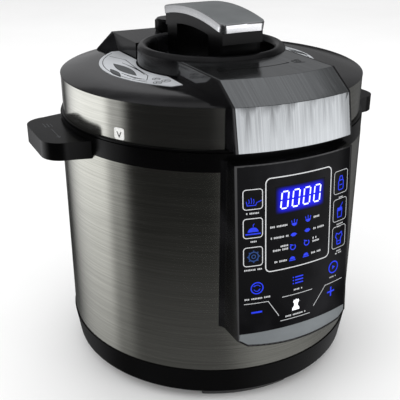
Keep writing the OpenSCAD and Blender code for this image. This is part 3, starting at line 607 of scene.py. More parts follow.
def rounded_bar(maker, across, deep, tall):
    """A bar with arched ends as a mesh: an oval outline filled and raised."""
    outline = maker.node("GeometryNodeCurvePrimitiveQuadrilateral", None,
                         {"Width": across, "Height": deep})
    soft = maker.node("GeometryNodeFilletCurve", None, {"Curve": outline, "Radius": deep * 0.45})
    filled = maker.node("GeometryNodeFillCurve", None, {"Curve": soft})
    raised = maker.node("GeometryNodeExtrudeMesh", None, {"Mesh": filled, "Offset Scale": tall,
                                                          "Individual": False})
    turned = maker.node("GeometryNodeFlipFaces", None, {"Mesh": filled})
    both = maker.tree.nodes.new("GeometryNodeJoinGeometry")
    for part in (raised, turned):
        maker.tree.links.new(part.socket, both.inputs[0])
    return maker.node("GeometryNodeMergeByDistance", None,
                      {"Geometry": Value(maker, both.outputs[0]), "Distance": 0.000001})


def bar_row():
    """The geometry tree of equal bars along a straight row."""
    def build(maker, inputs):
        row = maker.node("GeometryNodeMeshLine", None,
                         {"Count": inputs["Count"], "Start Location": inputs["Start"],
                          "Offset": inputs["Step"]})
        bar = rounded_bar(maker, inputs["Width"], inputs["Depth"], inputs["Height"])
        return maker.node("GeometryNodeInstanceOnPoints", None, {"Points": row, "Instance": bar})

    return bpy.data.node_groups.get("bar_row") or node_tree(
        "bar_row", {"Count": ("NodeSocketInt", 9), "Start": ("NodeSocketVector", (0, 0, 0)),
                    "Step": ("NodeSocketVector", (0, 0, 0.005)), "Width": ("NodeSocketFloat", 0.001),
                    "Depth": ("NodeSocketFloat", 0.01), "Height": ("NodeSocketFloat", 0.001)}, build)


# ---- Operators ----

class BuildStudio(bpy.types.Operator):
    """Pale floor and backdrop, soft lights and the camera"""
    bl_idname = "cooker.studio"
    bl_label = "Studio"

    SENSOR = 36
    LENS = 62.88
    EYE = (-0.3113, -0.5964, 0.4444)
    GAZE = (0.410, 0.817, -0.406)
    LIGHTS = (("key", "key_power", 1.3, (-1.5, -0.5, 1.5)),
              ("overhead", "top_power", 1.4, (0.3, 0.7, 1.9)),
              ("side", "side_power", 1.0, (1.3, -1.5, 0.9)))
    LIT_POINT = Vector((0, 0, 0.2))

    def execute(self, context):
        scene, studio = context.scene, context.scene.cooker_studio
        self.floor(scene, studio)
        self.world(scene, studio)
        for name, power, size, spot in self.LIGHTS:
            data = bpy.data.lights.new(name, "AREA")
            data.energy, data.size = getattr(studio, power), size
            light = bpy.data.objects.new(name, data)
            light.visible_glossy = False
            light.location = spot
            light.rotation_euler = (self.LIT_POINT - light.location).to_track_quat("-Z", "Y").to_euler()
            scene.collection.objects.link(light)
        data = bpy.data.cameras.new("camera")
        data.lens, data.sensor_width = self.LENS, self.SENSOR
        camera = bpy.data.objects.new("camera", data)
        camera.location = self.EYE
        camera.rotation_euler = Vector(self.GAZE).to_track_quat("-Z", "Y").to_euler()
        scene.collection.objects.link(camera)
        scene.camera = camera
        scene.view_settings.view_transform = "Standard"
        return {"FINISHED"}

    @staticmethod
    def floor(scene, studio):
        bm = bmesh.new()
        bmesh.ops.create_circle(bm, cap_ends=True, segments=64, radius=studio.floor_radius)
        mesh = bpy.data.meshes.new("floor")
        bm.to_mesh(mesh)
        bm.free()
        floor = bpy.data.objects.new("floor", mesh)
        scene.collection.objects.link(floor)
        f = Finish("floor_paper")
        tone = f.noise(3, 3)
        f.set(Base_Color=f.mix(tone, shade(studio.page, 0.94), studio.page), Roughness=0.7 + tone * 0.1)
        mesh.materials.append(f.material)
        floor.location.z = -0.0002
        floor.visible_glossy = False

    @staticmethod
    def world(scene, studio):
        """Pale to the eye; in reflections a tall window at the left, a screen in front, dim above."""
        world = bpy.data.worlds.new("studio")
        world.use_nodes = True
        world.cycles.sampling_method = "NONE"
        scene.world = world
        f = Finish("studio", world.node_tree)
        x, y, z = f.axes("Generated")
        # How far a direction points to the left, the back and the front, and how far below level.
        left, back, front = y * 0.45 - x * 0.89, x * 0.46 + y * 0.89, x * 0.45 - y * 0.89
        dip = z * -1
        window = (left.step(0.48, 0.88) * back.step(-0.46, -0.28) * (back.step(-0.2, -0.04) * 0.6 + 0.4)
                  * (1.4 - (dip - 0.31) * 3.6) * (dip.step(0.14, 0.28) * 0.75 + 0.25))
        wall = left.step(0.0, 0.2) * back.step(0.8, 0.95) * 0.3 + (1 - left.step(-0.6, -0.2)) * 0.12
        table = dip.step(0.42, 0.62) * 0.09 + front.step(0.55, 0.72) * 0.05
        screen = front.step(0.72, 0.84) * (1.45 - dip * 1.7) * (1 - dip.step(0.38, 0.5))
        low = 0.02 + window + wall + table + screen
        far = back.step(0.5, 0.8) * (1 - z.step(0.42, 0.6)) * 0.12
        pane = left.step(0.0, 0.05) * (1 - left.step(0.4, 0.46)) * (1 - z.step(0.42, 0.5)) * 0.16
        facing = front.step(0.72, 0.84) * (1 - z.step(0.1, 0.35)) * 0.95
        lamp = z.step(0.44, 0.6) * (1 - z.step(0.7, 0.8)) * 0.03 + z.step(0.6, 0.8) * 0.22
        high = 0.065 + far + pane + facing + lamp + left.step(0.5, 0.8) * 0.12
        level = f.node("ShaderNodeMix", {"data_type": "FLOAT"},
                       {"Factor": z.step(-0.1, 0.1), "A": low, "B": high})
        camera_ray, diffuse_ray = (f.node("ShaderNodeLightPath", output=k) for k in (0, 2))
        grey = f.node("ShaderNodeCombineColor", None, {0: level, 1: level, 2: level * 1.02})
        seen = f.mix(f.maths("MAXIMUM", camera_ray, diffuse_ray), grey, studio.page)
        f.plug(seen, world.node_tree.nodes["Background"].inputs["Color"])


class DressFrame(bpy.types.Operator):
    """Gives every frame piece the finish of its slot"""
    bl_idname = "cooker.dress"
    bl_label = "Frame finishes"

    def execute(self, context):
        for name, piece in NODES.items():
            piece.data.materials.clear()
            piece.data.materials.append(finish(SLOT_OF[name]))
            piece["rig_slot"] = SLOT_OF[name]
        return {"FINISHED"}


class BuildDisplay(bpy.types.Operator):
    """Lit digits with their glow on the panel's window"""
    bl_idname = "cooker.display"
    bl_label = "Display"

    FOOT = -38.8
    CENTRES = (-15.6, -4.9, 5.8, 16.5)
    HALF_WIDTH = 3.1
    GAP = 0.75
    STROKE = 1.15

    def execute(self, context):
        panel = context.scene.cooker_panel
        skin = Skin("panel_window", "front", WINDOW_TOP)
        height, slant = panel.digit_height / MM, panel.digit_slant / MM
        foot, half, side, gap, stroke = self.FOOT, height / 2, self.HALF_WIDTH, self.GAP, self.STROKE
        digits = Print(skin, 0.16, 0.05)
        for centre in self.CENTRES:
            for x in (-side, side):
                for low in (0, half):
                    a, b = low + gap, low + half - gap
                    digits.line([(centre + x + slant * a / height, foot + a),
                                 (centre + x + slant * b / height, foot + b)], stroke)
            for level in (0, height):
                lean = slant * level / height
                digits.line([(centre - side + gap + lean, foot + level),
                             (centre + side - gap + lean, foot + level)], stroke)
        digits.piece("display_digits", BODY_OF["panel_window"], "window_black", "digit_light")
        self.haze(skin, foot, height)
        return {"FINISHED"}

    @staticmethod
    def haze(skin, foot, height):
        """Thin sheet behind the digits, with a UV map over its whole patch."""
        u0, u1, v0, v1 = -24.0, 25.5, foot - 5.0, foot + height + 5.0
        bm = bmesh.new()
        layer = bm.loops.layers.uv.new("UVMap")
        columns, rows = 24, 8
        grid = {}
        for i in range(columns + 1):
            for j in range(rows + 1):
                spot = (u0 + (u1 - u0) * i / columns, v0 + (v1 - v0) * j / rows)
                for side, lift in enumerate((-0.05, 0.05)):
                    grid[i, j, side] = bm.verts.new(skin.at(*spot, lift))
        share = {v: (k[0] / columns, k[1] / rows) for k, v in grid.items()}
        faces = []
        for i in range(columns):
            for j in range(rows):
                for side in (0, 1):
                    ring = [grid[i + a, j + b, side] for a, b in ((0, 0), (1, 0), (1, 1), (0, 1))]
                    faces.append(bm.faces.new(ring if side else ring[::-1]))
        rim = ([(i, 0) for i in range(columns)] + [(columns, j) for j in range(rows)]
               + [(i, rows) for i in range(columns, 0, -1)] + [(0, j) for j in range(rows, 0, -1)])
        for a, b in zip(rim, rim[1:] + rim[:1]):
            faces.append(bm.faces.new((grid[(*a, 0)], grid[(*b, 0)], grid[(*b, 1)], grid[(*a, 1)])))
        for face in faces:
            for loop in face.loops:
                loop[layer].uv = share[loop.vert]
        bmesh.ops.recalc_face_normals(bm, faces=bm.faces)
        add_piece("display_glow", bm, BODY_OF["panel_window"], "window_black", ["display_haze"])


class BuildPanelPrint(bpy.types.Operator):
    """White and grey frames, lines and dashes printed on the panel"""
    bl_idname = "cooker.panel_print"
    bl_label = "Panel print"

    # Left end, right end, height under the window's top edge, and height of the blocks.
    CAPTIONS = (
        (-48.5, -37.5, -39.4, 1.5), (-46.5, -39.5, -64.4, 1.5), (-50.5, -35, -90, 1.5),
        (43, 48, -42.2, 1.3), (41.5, 49.5, -67, 1.2), (42.5, 48.5, -69.2, 1.2),
        (42.5, 48, -92.6, 1.2), (41, 49, -94.8, 1.2), (-50.5, -27.5, -117.4, 1.6),
        (-5, 4, -116.2, 1.5), (35, 43, -116.2, 1.2), (-13, 8, -140.4, 1.6),
        (-28, -10.5, -54, 1.8), (-27.5, -10.8, -64, 1.8), (-20, -11, -72.6, 1.8),
        (-25.5, -11, -75.6, 1.8), (-24, -12, -86.2, 1.8),
        (14, 20.5, -52.5, 1.8), (14, 26, -63, 1.8), (13.6, 18, -71.6, 1.8),
        (13.6, 21, -74.6, 1.8), (12.5, 23, -85.4, 1.8))

    def execute(self, context):
        skin = Skin("panel_window", "front", WINDOW_TOP)
        body = BODY_OF["panel_window"]
        white = Print(skin)
        white.line(rounded(-32, -94, 32.4, -11.2, 4.5), context.scene.cooker_panel.window_frame / MM,
                   closed=True)
        for v in (-36, -61, -86.5):
            white.line(rounded(-51, v, -34.8, v + 17, 2.6), 0.65, closed=True)
        white.piece("panel_frames", body, "window_black", "ink_white")
        grey = Print(skin)
        for v in (-38.5, -64, -89.5):
            grey.line(rounded(36.6, v, 53, v + 20.5, 2.6), 0.5, closed=True)
        grey.lines(0.55, [(-51, -121.7), (-29.6, -121.9), (-19.4, -138)],
                   [(51, -121.7), (29.6, -121.9), (16.4, -138)],
                   [(-16.5, -120.7), (14.5, -120.7)], [(-18, -143.6), (12.6, -143.6)])
        for u0, u1, v, height in self.CAPTIONS:
            grey.caption(u0, u1, v, height)
        grey.piece("panel_captions", body, "window_black", "ink_grey")
        return {"FINISHED"}


class BuildPanelSymbols(bpy.types.Operator):
    """Lit touch symbols and programme symbols"""
    bl_idname = "cooker.panel_symbols"
    bl_label = "Panel symbols"

    def execute(self, context):
        skin = Skin("panel_window", "front", WINDOW_TOP)
        body = BODY_OF["panel_window"]
        lit = Print(skin, 0.14)
        self.boxes(lit)
        self.programmes(lit)
        self.keys(lit)
        lit.piece("panel_symbols", body, "window_black", "symbol_light")
        dim = Print(skin, 0.14)
        u, v = -42.5, -78
        dim.line(arc(u, v, 4.1), 1.0, closed=True)
        dim.line(arc(u, v, 1.6), 0.8, closed=True)
        for turn in range(0, 360, 45):
            c, s = math.cos(math.radians(turn)), math.sin(math.radians(turn))
            dim.line([(u + c * 4.6, v + s * 4.6), (u + c * 5.6, v + s * 5.6)], 1.0)
        dim.piece("panel_symbol_dim", body, "window_black", "symbol_dim")
        white = Print(skin, 0.14)
        u, v = -2.4, -131
        white.solid([(u - 3.9, v - 5.2), (u + 3.6, v - 5.2), (u + 3.2, v - 2.8), (u + 1.7, v - 1.0),
                     (u + 1.9, v + 1.2), (u + 3.1, v + 2.8), (u + 2.4, v + 5.0), (u + 0.9, v + 4.3),
                     (u + 0.1, v + 5.6), (u - 0.9, v + 4.3), (u - 2.2, v + 5.0), (u - 2.9, v + 2.8),
                     (u - 1.9, v + 1.2), (u - 2.0, v - 1.0), (u - 3.6, v - 2.8)])
        white.piece("panel_symbol_cook", body, "window_black", "symbol_white")
        return {"FINISHED"}

    @staticmethod
    def boxes(lit):
        """Symbols of the six framed programmes, down the left and then the right."""
        # Steam over a dish
        u, v = -42.8, -30.5
        lit.line([(u - 5.6, v + 1.6), (u - 4.8, v - 2), (u + 2.2, v - 2), (u + 3.2, v + 0.2),
                  (u + 7.2, v + 1.6)], 0.6)
        for k, top in ((-3.6, 3.4), (-1.6, 4.6), (0.4, 3.4)):
            lit.line([(u + k, v - 0.6), (u + k + 0.5, v + 1.2), (u + k, v + top)], 0.5)
        # Covered dish
        u, v = -42.8, -56
        lit.solid(arc(u, v - 0.5, 4.7, 8, 172, 16))
        lit.line([(u - 6.4, v - 1.6), (u + 6.4, v - 1.6)], 1.1)
        lit.line([(u, v + 4.6), (u, v + 6.4), (u + 1.1, v + 7.4)], 0.55)
        # Bottle
        u, v = 44.8, -29.2
        lit.line(rounded(u - 3, v - 6, u + 3, v + 2.6, 1.6), 0.85, closed=True)
        lit.line([(u - 2.2, v + 2.9), (u - 1.2, v + 6.2), (u + 1.2, v + 6.2), (u + 2.2, v + 2.9)], 0.85)
        lit.line([(u - 1.8, v - 1.6), (u + 1.8, v - 1.6)], 0.7)
        # Glass with a straw
        u, v = 44.6, -55
        lit.line([(u - 2.9, v + 2.0), (u - 2.4, v - 5.4), (u + 2.4, v - 5.4), (u + 2.9, v + 2.0)], 0.8)
        lit.solid([(u - 2.6, v + 0.2), (u + 2.6, v + 0.2), (u + 2.9, v + 3.4), (u - 2.9, v + 3.4)])
        lit.line([(u + 0.4, v + 3.4), (u + 3.6, v + 7.4)], 0.7)
        # Cook's hat
        u, v = 44.8, -80.5
        lit.line([(u - 2.2, v - 5.6), (u + 2.2, v - 5.6), (u + 2.4, v - 0.4), (u + 4.2, v + 1.8),
                  (u + 3.2, v + 5.2), (u, v + 3.6), (u - 3.2, v + 5.2), (u - 4.2, v + 1.8),
                  (u - 2.4, v - 0.4), (u - 2.2, v - 5.2)], 0.9)
        lit.line([(u - 1.8, v - 2.6), (u + 1.8, v - 2.6)], 0.7)

    @staticmethod
    def programmes(lit):
        """Eight small symbols in the middle: bowl, fish, curl and bun, on each side."""
        for k, (u, v) in enumerate([(-5.6, -53.2), (-6.0, -64), (-6.6, -75), (-7.0, -86),
                                    (8.2, -52.4), (7.8, -63), (7.3, -74), (6.8, -85.6)]):
            shape = k % 4
            if shape == 0:
                lit.solid(arc(u, v - 0.4, 2.6, 180, 360, 12))
                lit.lines(0.6, [(u - 2.2, v), (u - 2.8, v + 2.2)], [(u, v), (u, v + 3.0)],
                          [(u + 2.2, v), (u + 2.8, v + 2.2)])
            elif shape == 1:
                lit.solid([(u - 3.2, v), (u - 1.4, v + 1.5), (u + 1, v + 1.6), (u + 3.1, v + 0.3),
                           (u + 1.2, v - 1.5), (u - 1.2, v - 1.6)])
            elif shape == 2:
                lit.line(arc(u, v - 0.3, 2.4, 130, 410, 16), 0.9)
                lit.line([(u - 2.8, v + 2.4), (u + 0.4, v + 1.2)], 0.8)
            else:
                lit.solid(arc(u, v - 0.6, 2.6, 0, 180, 12))
                lit.line([(u - 3.1, v - 1.5), (u + 3.1, v - 1.5)], 0.9)

    @staticmethod
    def keys(lit):
        """Turning arrows, list, play, plus and minus."""
        # Two turning arrows in a ring
        u, v = -39.6, -107.6
        lit.line(arc(u, v, 5.2, steps=36), 0.95, closed=True)
        for turn in (20, 200):
            path = arc(u, v, 2.9, turn, turn + 120, 10)
            lit.line(path, 0.6)
            end = path[-1]
            lit.line([(end[0] - 1.1, end[1] + 0.2), end, (end[0] + 0.2, end[1] + 1.2)], 0.5)
        # List
        u, v = -0.8, -107.2
        for k in (-2.9, 0, 2.9):
            lit.line([(u - 2.9, v + k), (u + 5.2, v + k)], 1.15)
            lit.disc(u - 4.8, v + k, 0.62)
        # Arrowhead in a ring
        u, v = 39.2, -106.9
        lit.line(arc(u, v, 5.4, steps=36), 1.05, closed=True)
        lit.solid([(u - 1.3, v - 1.9), (u + 2.1, v), (u - 1.3, v + 1.9)])
        # Plus
        u, v = 37.0, -130.4
        lit.line([(u - 4.4, v), (u + 4.4, v)], 1.5)
        lit.line([(u, v + 0.8), (u, v + 4.6)], 1.5)
        lit.line([(u, v - 0.8), (u, v - 4.6)], 1.5)
        # Minus
        u, v = -40.0, -130.6
        lit.line([(u - 4.8, v), (u + 4.8, v)], 1.6)


class BuildMouldings(bpy.types.Operator):
    """Rounds the edges of the moulded and pressed pieces that show"""
    bl_idname = "cooker.mouldings"
    bl_label = "Rounded mouldings"

    # Radius of each piece's edges in millimetres.
    EDGES = {"side_handle_left": 2.2, "side_handle_right": 2.2, "upper_collar": 0.6,
             "panel_housing": 0.7, "panel_accent": 0.35, "fascia_frame": 0.5, "lid_fascia": 0.5,
             "vent_housing": 1.5, "centre_ring": 1.2, "handle_base": 1.2, "feet": 1.2,
             "inlet_bezel": 0.8, "power_inlet": 0.5, "condensate_cup": 0.9, "cup_bracket": 0.6,
             "lid_glide_ring": 0.3, "lid_cover": 0.35}
    OWN_FINISH = {"vent_housing": "rear_gloss", "centre_ring": "ring_gloss"}

    def execute(self, context):
        size = context.scene.cooker_moulding.edge
        for node, edge in self.EDGES.items():
            slot = SLOT_OF[node]
            piece = add_piece(node + "_moulded", copy_of(node), BODY_OF[node], slot,
                              [self.OWN_FINISH.get(node, slot)], [node])
            round_edges(piece, edge * size)
        return {"FINISHED"}


class BuildFlares(bpy.types.Operator):
    """Sloping facets that lead from the rear housing's corners down to the deck"""
    bl_idname = "cooker.flares"
    bl_label = "Rear flares"

    def execute(self, context):
        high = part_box("vent_housing")[1]
        deck = Skin("lid_cover", "above")
        half = high.x / MM - 0.2
        for side, name in ((-1, "rear_flare_left"), (1, "rear_flare_right")):
            bm = bmesh.new()
            foot = [Vector((side * u * MM, v * MM, deck.at(side * u, v, -0.3).z))
                    for u, v in ((half, 92), (half + 15, 121), (half, 126))]
            crown = [Vector((side * half * MM, v * MM, high.z - 0.4 * MM)) for v in (104, 111)]
            bmesh.ops.convex_hull(bm, input=[bm.verts.new(p) for p in foot + crown])
            bmesh.ops.recalc_face_normals(bm, faces=bm.faces)
            flare = add_piece(name, bm, BODY_OF["vent_housing"], "black_gloss", ["rear_gloss"])
            round_edges(flare, 0.8)
        return {"FINISHED"}


class BuildHandleCap(bpy.types.Operator):
    """Silver cap of the lid handle: satin top, bright edge band and round corners"""
    bl_idname = "cooker.handle_cap"
    bl_label = "Handle cap"

    THICK = 8.5
    CORNER = 6.5
    RIM = 6.0
    CROWN = 0.35

    def execute(self, context):
        low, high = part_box("handle_cap")
        half_w, half_l = (high.x - low.x) / 2 / MM, (high.y - low.y) / 2 / MM
        edge = context.scene.cooker_moulding.cap_edge / MM
        corners = rounded(-half_w, -half_l, half_w, half_l, self.CORNER, 8)
        outline = []
        for (u, v), (p, q) in zip(corners, corners[1:] + corners[:1]):
            count = max(1, round(math.dist((u, v), (p, q)) / 5))
            outline += [(u + (p - u) * i / count, v + (q - v) * i / count) for i in range(count)]
        skin, reach = Skin("handle_cap", "above"), half_l - 0.4

        def top(v):
            return skin.at(0, max(-reach, min(reach, v)), 0).z

        def spot(u, v, inset, drop):
            """A point in from the outline and down from the arched top, square to its slope."""
            u, v = u * (half_w - inset) / half_w, v * (half_l - inset) / half_l
            crown = self.CROWN * MM * (u / half_w) ** 2
            tilt = Vector((0, (top(v - 1) - top(v + 1)) / (2 * MM), 1)).normalized()
            return Vector((u * MM, v * MM, top(v) - crown)) - tilt * drop * MM

        bm = bmesh.new()
        loops = [[bm.verts.new(spot(u, v, inset, drop)) for u, v in outline] for inset, drop in (
            (self.RIM, 0), (edge, 0), (edge * 0.3, edge * 0.3), (0, edge), (0, self.THICK * 0.55),
            (0, self.THICK - 0.6), (0.6, self.THICK), (self.RIM, self.THICK))]
        for k, (first, second) in enumerate(zip(loops, loops[1:])):
            for i in range(len(outline)):
                j = (i + 1) % len(outline)
                face = bm.faces.new((first[i], second[i], second[j], first[j]))
                face.material_index = 1 if k in (2, 3, 4) else 0
        self.fill(bm, loops[0])
        self.fill(bm, loops[-1])
        bmesh.ops.recalc_face_normals(bm, faces=bm.faces)
        cap = add_piece("handle_cap_shell", bm, BODY_OF["handle_cap"], "cap_silver",
                        ["cap_silver", "cap_edge"], ["handle_cap"], 35)
        cap.modifiers.new("Even shading", "WEIGHTED_NORMAL").keep_sharp = True
        return {"FINISHED"}

    @staticmethod
    def fill(bm, loop):
        """Closes a loop with strips across the cap, so that its arch stays smooth."""
        left = sorted((v for v in loop if v.co.x < 0), key=lambda v: v.co.y)
        right = sorted((v for v in loop if v.co.x >= 0), key=lambda v: v.co.y)
        for (a, b), (c, d) in zip(zip(left, left[1:]), zip(right, right[1:])):
            bm.faces.new((a, b, d, c))


class BuildKnob(bpy.types.Operator):
    """Steam valve's knob with grip ribs and a pointer"""
    bl_idname = "cooker.knob"
    bl_label = "Valve knob"

    def execute(self, context):
        moulding = context.scene.cooker_moulding
        low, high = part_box("valve_knob")
        centre = (low + high) / 2
        radius = (high.x - low.x) / 2
        body, slot = BODY_OF["valve_knob"], "black_plastic"
        knob = add_piece("valve_knob_cap", copy_of("valve_knob"), body, slot, [slot], ["valve_knob"])
        round_edges(knob, 1.1)

        def ribs(maker, inputs):
            places = maker.node("GeometryNodeMeshCircle", None,
                                {"Vertices": inputs["Count"], "Radius": inputs["Radius"]})
            away = maker.node("GeometryNodeInputPosition")
            turn = maker.node("FunctionNodeAlignRotationToVector", {"axis": "X"}, {"Vector": away})
            rib = rounded_bar(maker, inputs["Width"], inputs["Width"], inputs["Height"])
            spread = maker.node("GeometryNodeInstanceOnPoints", None,
                                {"Points": places, "Instance": rib, "Rotation": turn})
            lift = maker.node("ShaderNodeCombineXYZ", None,
                              {"X": centre.x, "Y": centre.y, "Z": inputs["Foot"]})
            return maker.node("GeometryNodeTransform", None, {"Geometry": spread, "Translation": lift})

        tree = node_tree("grip_ribs", {
            "Count": ("NodeSocketInt", 36), "Radius": ("NodeSocketFloat", 0.017),
            "Width": ("NodeSocketFloat", 0.0013), "Height": ("NodeSocketFloat", 0.008),
            "Foot": ("NodeSocketFloat", 0.3)}, ribs)
        grown("valve_knob_ribs", tree,
              {"Count": moulding.rib_count, "Radius": radius - 0.35 * MM, "Width": moulding.rib_size,
               "Height": (high.z - low.z) - 3.4 * MM, "Foot": low.z + 1.1 * MM}, slot, body, slot)
        pointer = Print(Skin("valve_knob", "above"), 0.35, -0.2)
        u, v = centre.x / MM, centre.y / MM
        pointer.line([(u, v - 14), (u, v - 5)], 1.6)
        pointer.solid([(u - 2.6, v - 9.5), (u, v - 14.6), (u + 2.6, v - 9.5)])
        pointer.piece("valve_knob_pointer", body, slot, "ink_white")
        return {"FINISHED"}


class BuildLabels(bpy.types.Operator):
    """Generic printed diagrams on the lid's two silver sheets"""
    bl_idname = "cooker.labels"
    bl_label = "Lid labels"

    def execute(self, context):
        for side, node in ((-1, "lid_label_left"), (1, "lid_label_right")):
            skin = Skin(node, "above")
            dark = Print(skin, 0.09)
            leaves = Print(skin, 0.08)
            self.diagram(leaves, dark, side)
            dark.piece(f"{node}_lines", BODY_OF[node], "label_silver", "ink_dark")
            leaves.piece(f"{node}_leaves", BODY_OF[node], "label_silver", "ink_steel")
        return {"FINISHED"}

    @staticmethod
    def diagram(leaves, dark, side):
        """Two leaf shapes, rows of lines and three small signs, drawn for the left and mirrored."""
        def turned(points):
            return [(side * -u, v) for u, v in points]

        for u, v, half, width, lean in ((-87, 6, 27, 5.2, 92), (-99, -2, 16, 3.0, 86)):
            c, s = math.cos(math.radians(lean)), math.sin(math.radians(lean))
            shape = [(half * (i / 8 - 1 if i <= 16 else 3 - i / 8),
                      width * math.sin(math.pi * (i % 16) / 16) * (1 if i < 16 else -1))
                     for i in range(32)]
            points = turned([(u + a * c - b * s, v + a * s + b * c) for a, b in shape])
            leaves.solid(points)
            dark.line(points, 0.5, closed=True)
        for k in range(5):
            dark.line(turned([(-94.5 + k * 0.6, -6 - k * 5.5), (-90 + k * 1.4, -29 - k * 1.6)]), 0.55)
            dark.line(turned([(-79.5 + k * 0.9, 32 - k * 9), (-76 - k * 0.6, -1 - k * 5)]), 0.55)
        dark.line(turned(arc(0, 8, 101.5, 136, 212, 40)), 0.6)
        dark.line(turned([(-80, 66), (-72, 42), (-76, 4), (-77, -26), (-84, -40), (-90, -36)]), 0.6)
        for u, v, r in ((-75, -40, 3.4), (-70, -50, 3.8), (-79, -52, 3.6)):
            dark.line(turned(arc(u, v, r, steps=28)), 0.6, closed=True)
            dark.line(turned([(u - r * 0.55, v - r * 0.3), (u, v + r * 0.5),
                              (u + r * 0.55, v - r * 0.3)]), 0.7)


class BuildPrints(bpy.types.Operator):
    """Generic lock and arrow prints on the fascia, side handles and band"""
    bl_idname = "cooker.prints"
    bl_label = "Lock prints"

    def execute(self, context):
        fascia = Print(Skin("lid_fascia", "above"), 0.06)
        sweep = arc(0, 0, 96, 243, 297, 40)[8:33]
        fascia.line(sweep, 1.0)
        for end, before in ((sweep[0], sweep[3]), (sweep[-1], sweep[-4])):
            way = Vector((before[0] - end[0], before[1] - end[1])).normalized()
            across = Vector((-way.y, way.x))
            fascia.solid([(end[0] - way.x * 2.5, end[1] - way.y * 2.5),
                          (end[0] + way.x + across.x * 1.5, end[1] + way.y + across.y * 1.5),
                          (end[0] + way.x - across.x * 1.5, end[1] + way.y - across.y * 1.5)])
        for u, shut in ((-37, True), (37, False)):
            v = -89.5
            fascia.line(rounded(u - 3.6, v - 3.4, u + 3.6, v + 2.0, 0.9, 3), 0.9, closed=True)
            fascia.line(arc(u + (0 if shut else 2.6), v + 2.4, 2.1, 180 if shut else 150, 0, 10), 0.8)
            fascia.disc(u, v - 0.8, 0.8, 12)
            fascia.line([(u - 5.4, v - 5.8), (u + 5.4, v - 5.8 + (0.9 if shut else -0.9))], 0.9)
        fascia.piece("fascia_lock_print", BODY_OF["lid_fascia"], "fascia_silver", "ink_dark")
        for side, node in ((-1, "side_handle_left"), (1, "side_handle_right")):
            lug = Print(Skin(node, "above"), 0.06)
            u = side * 161
            lug.line([(u, -24), (u, 2)], 0.5)
            lug.line([(u - 1.8, -20.5), (u, -24.4), (u + 1.8, -20.5)], 0.5)
            for k in range(3):
                lug.line([(u - 3 + k * 3, 8), (u - 3 + k * 3, 22 - k * 3)], 0.55)
            lug.piece(f"{node}_print", BODY_OF[node], "black_plastic", "ink_steel")
        self.mark()
        return {"FINISHED"}

    @staticmethod
    def mark():
        """White sticker with round corners and a downward pointer, which points at the lock line."""
        low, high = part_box("alignment_mark")
        centre = (low + high) / 2
        radius = math.hypot(centre.x, centre.y)
        turn = math.atan2(centre.y, centre.x)
        reaches = [math.hypot(v.co.x, v.co.y) for v in NODES["alignment_mark"].data.vertices]
        foot, reach = min(reaches), max(reaches)
        half = (high.z - low.z) / 2 / MM

        class Band:
            @staticmethod
            def at(u, v, lift):
                r = foot + (reach - foot) * 0.9 + lift * MM
                angle = turn + u * MM / radius
                return Vector((r * math.cos(angle), r * math.sin(angle), centre.z + v * MM))

        sticker = Print(Band, 0.0, -0.25)
        sticker.solid(rounded(-half, -half, half, half, 2.0))
        piece = sticker.piece("alignment_sticker", BODY_OF["alignment_mark"], "mark_white", "mark_white")
        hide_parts("alignment_mark")
        pointer = Print(Band, 0.04, -0.02)
        pointer.line([(-2.2, 1.8), (0, -2.6), (2.2, 1.8)], 0.85, step=0.8)
        pointer.piece("alignment_pointer", BODY_OF["alignment_mark"], "mark_white", "ink_dark")


class BuildPotScale(bpy.types.Operator):
    """Level marks pressed inside the inner pot"""
    bl_idname = "cooker.pot_scale"
    bl_label = "Pot scale"

    def execute(self, context):
        low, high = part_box("inner_pot")
        middle = Vector((0, 0, (low.z + high.z) / 2))
        wall = Skin("inner_pot", "above").tree.ray_cast(middle, Vector((1, 0, 0)))[0].x
        count = context.scene.cooker_moulding.level_count
        pitch = (high.z - low.z - 60 * MM) / count
        grown("pot_level_marks", bar_row(),
              {"Count": count, "Start": (wall, 0, low.z + 35 * MM), "Step": (0, 0, pitch),
               "Width": 0.9 * MM, "Depth": 10 * MM, "Height": 0.9 * MM},
              "liner_metal", BODY_OF["inner_pot"], "pot_steel")
        return {"FINISHED"}


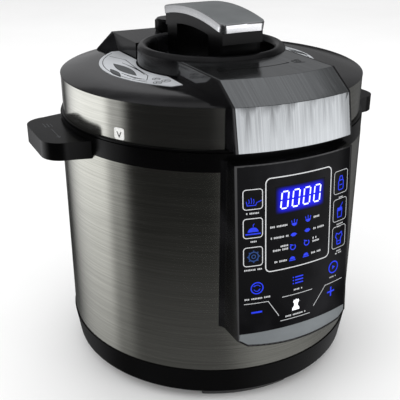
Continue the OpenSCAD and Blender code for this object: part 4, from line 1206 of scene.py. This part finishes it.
class BuildGripRibs(bpy.types.Operator):
    """Ribs under the two side handles, where the fingers hold"""
    bl_idname = "cooker.grip_ribs"
    bl_label = "Grip ribs"

    PITCH = 4.5 * MM
    FROM_TIP = 14 * MM

    def execute(self, context):
        count = context.scene.cooker_moulding.grip_count
        for side, node in ((-1, "side_handle_left"), (1, "side_handle_right")):
            low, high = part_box(node)
            x = (high.x if side > 0 else low.x) - side * self.FROM_TIP
            under = Skin(node, "above").tree.ray_cast(Vector((x, 0, -1)), Vector((0, 0, 1)))[0].z
            grown(f"{node}_ribs", bar_row(),
                  {"Count": count, "Start": (x, -self.PITCH * (count - 1) / 2, under - 0.8 * MM),
                   "Step": (0, self.PITCH, 0), "Width": 14 * MM, "Depth": 1.6 * MM, "Height": 1.2 * MM},
                  "black_plastic", BODY_OF[node], SLOT_OF[node])
        return {"FINISHED"}


class CookerPanel(bpy.types.Panel):
    """Build steps and sizes of the cooker's look"""
    bl_idname = "VIEW3D_PT_cooker"
    bl_label = "Pressure cooker"
    bl_space_type = "VIEW_3D"
    bl_region_type = "UI"
    bl_category = "Cooker"

    def draw(self, context):
        layout = self.layout
        for held, group in GROUPS.items():
            for name in group.__annotations__:
                layout.prop(getattr(context.scene, held), name)
        for step in STEPS:
            layout.operator(step.bl_idname)


GROUPS = {"cooker_studio": StudioSettings, "cooker_colours": ColourSettings,
          "cooker_moulding": MouldingSettings, "cooker_panel": PanelSettings}
STEPS = (BuildStudio, DressFrame, BuildMouldings, BuildFlares, BuildHandleCap, BuildKnob, BuildDisplay,
         BuildPanelPrint, BuildPanelSymbols, BuildLabels, BuildPrints, BuildPotScale, BuildGripRibs)


def register():
    for name, group in GROUPS.items():
        bpy.utils.register_class(group)
        setattr(bpy.types.Scene, name, bpy.props.PointerProperty(type=group))
    for step in STEPS:
        bpy.utils.register_class(step)
    bpy.utils.register_class(CookerPanel)


def unregister():
    bpy.utils.unregister_class(CookerPanel)
    for step in reversed(STEPS):
        bpy.utils.unregister_class(step)
    for name, group in GROUPS.items():
        delattr(bpy.types.Scene, name)
        bpy.utils.unregister_class(group)


def main():
    register()
    for step in STEPS:
        area, name = step.bl_idname.split(".")
        getattr(getattr(bpy.ops, area), name)()


if __name__ == "__main__":
    main()
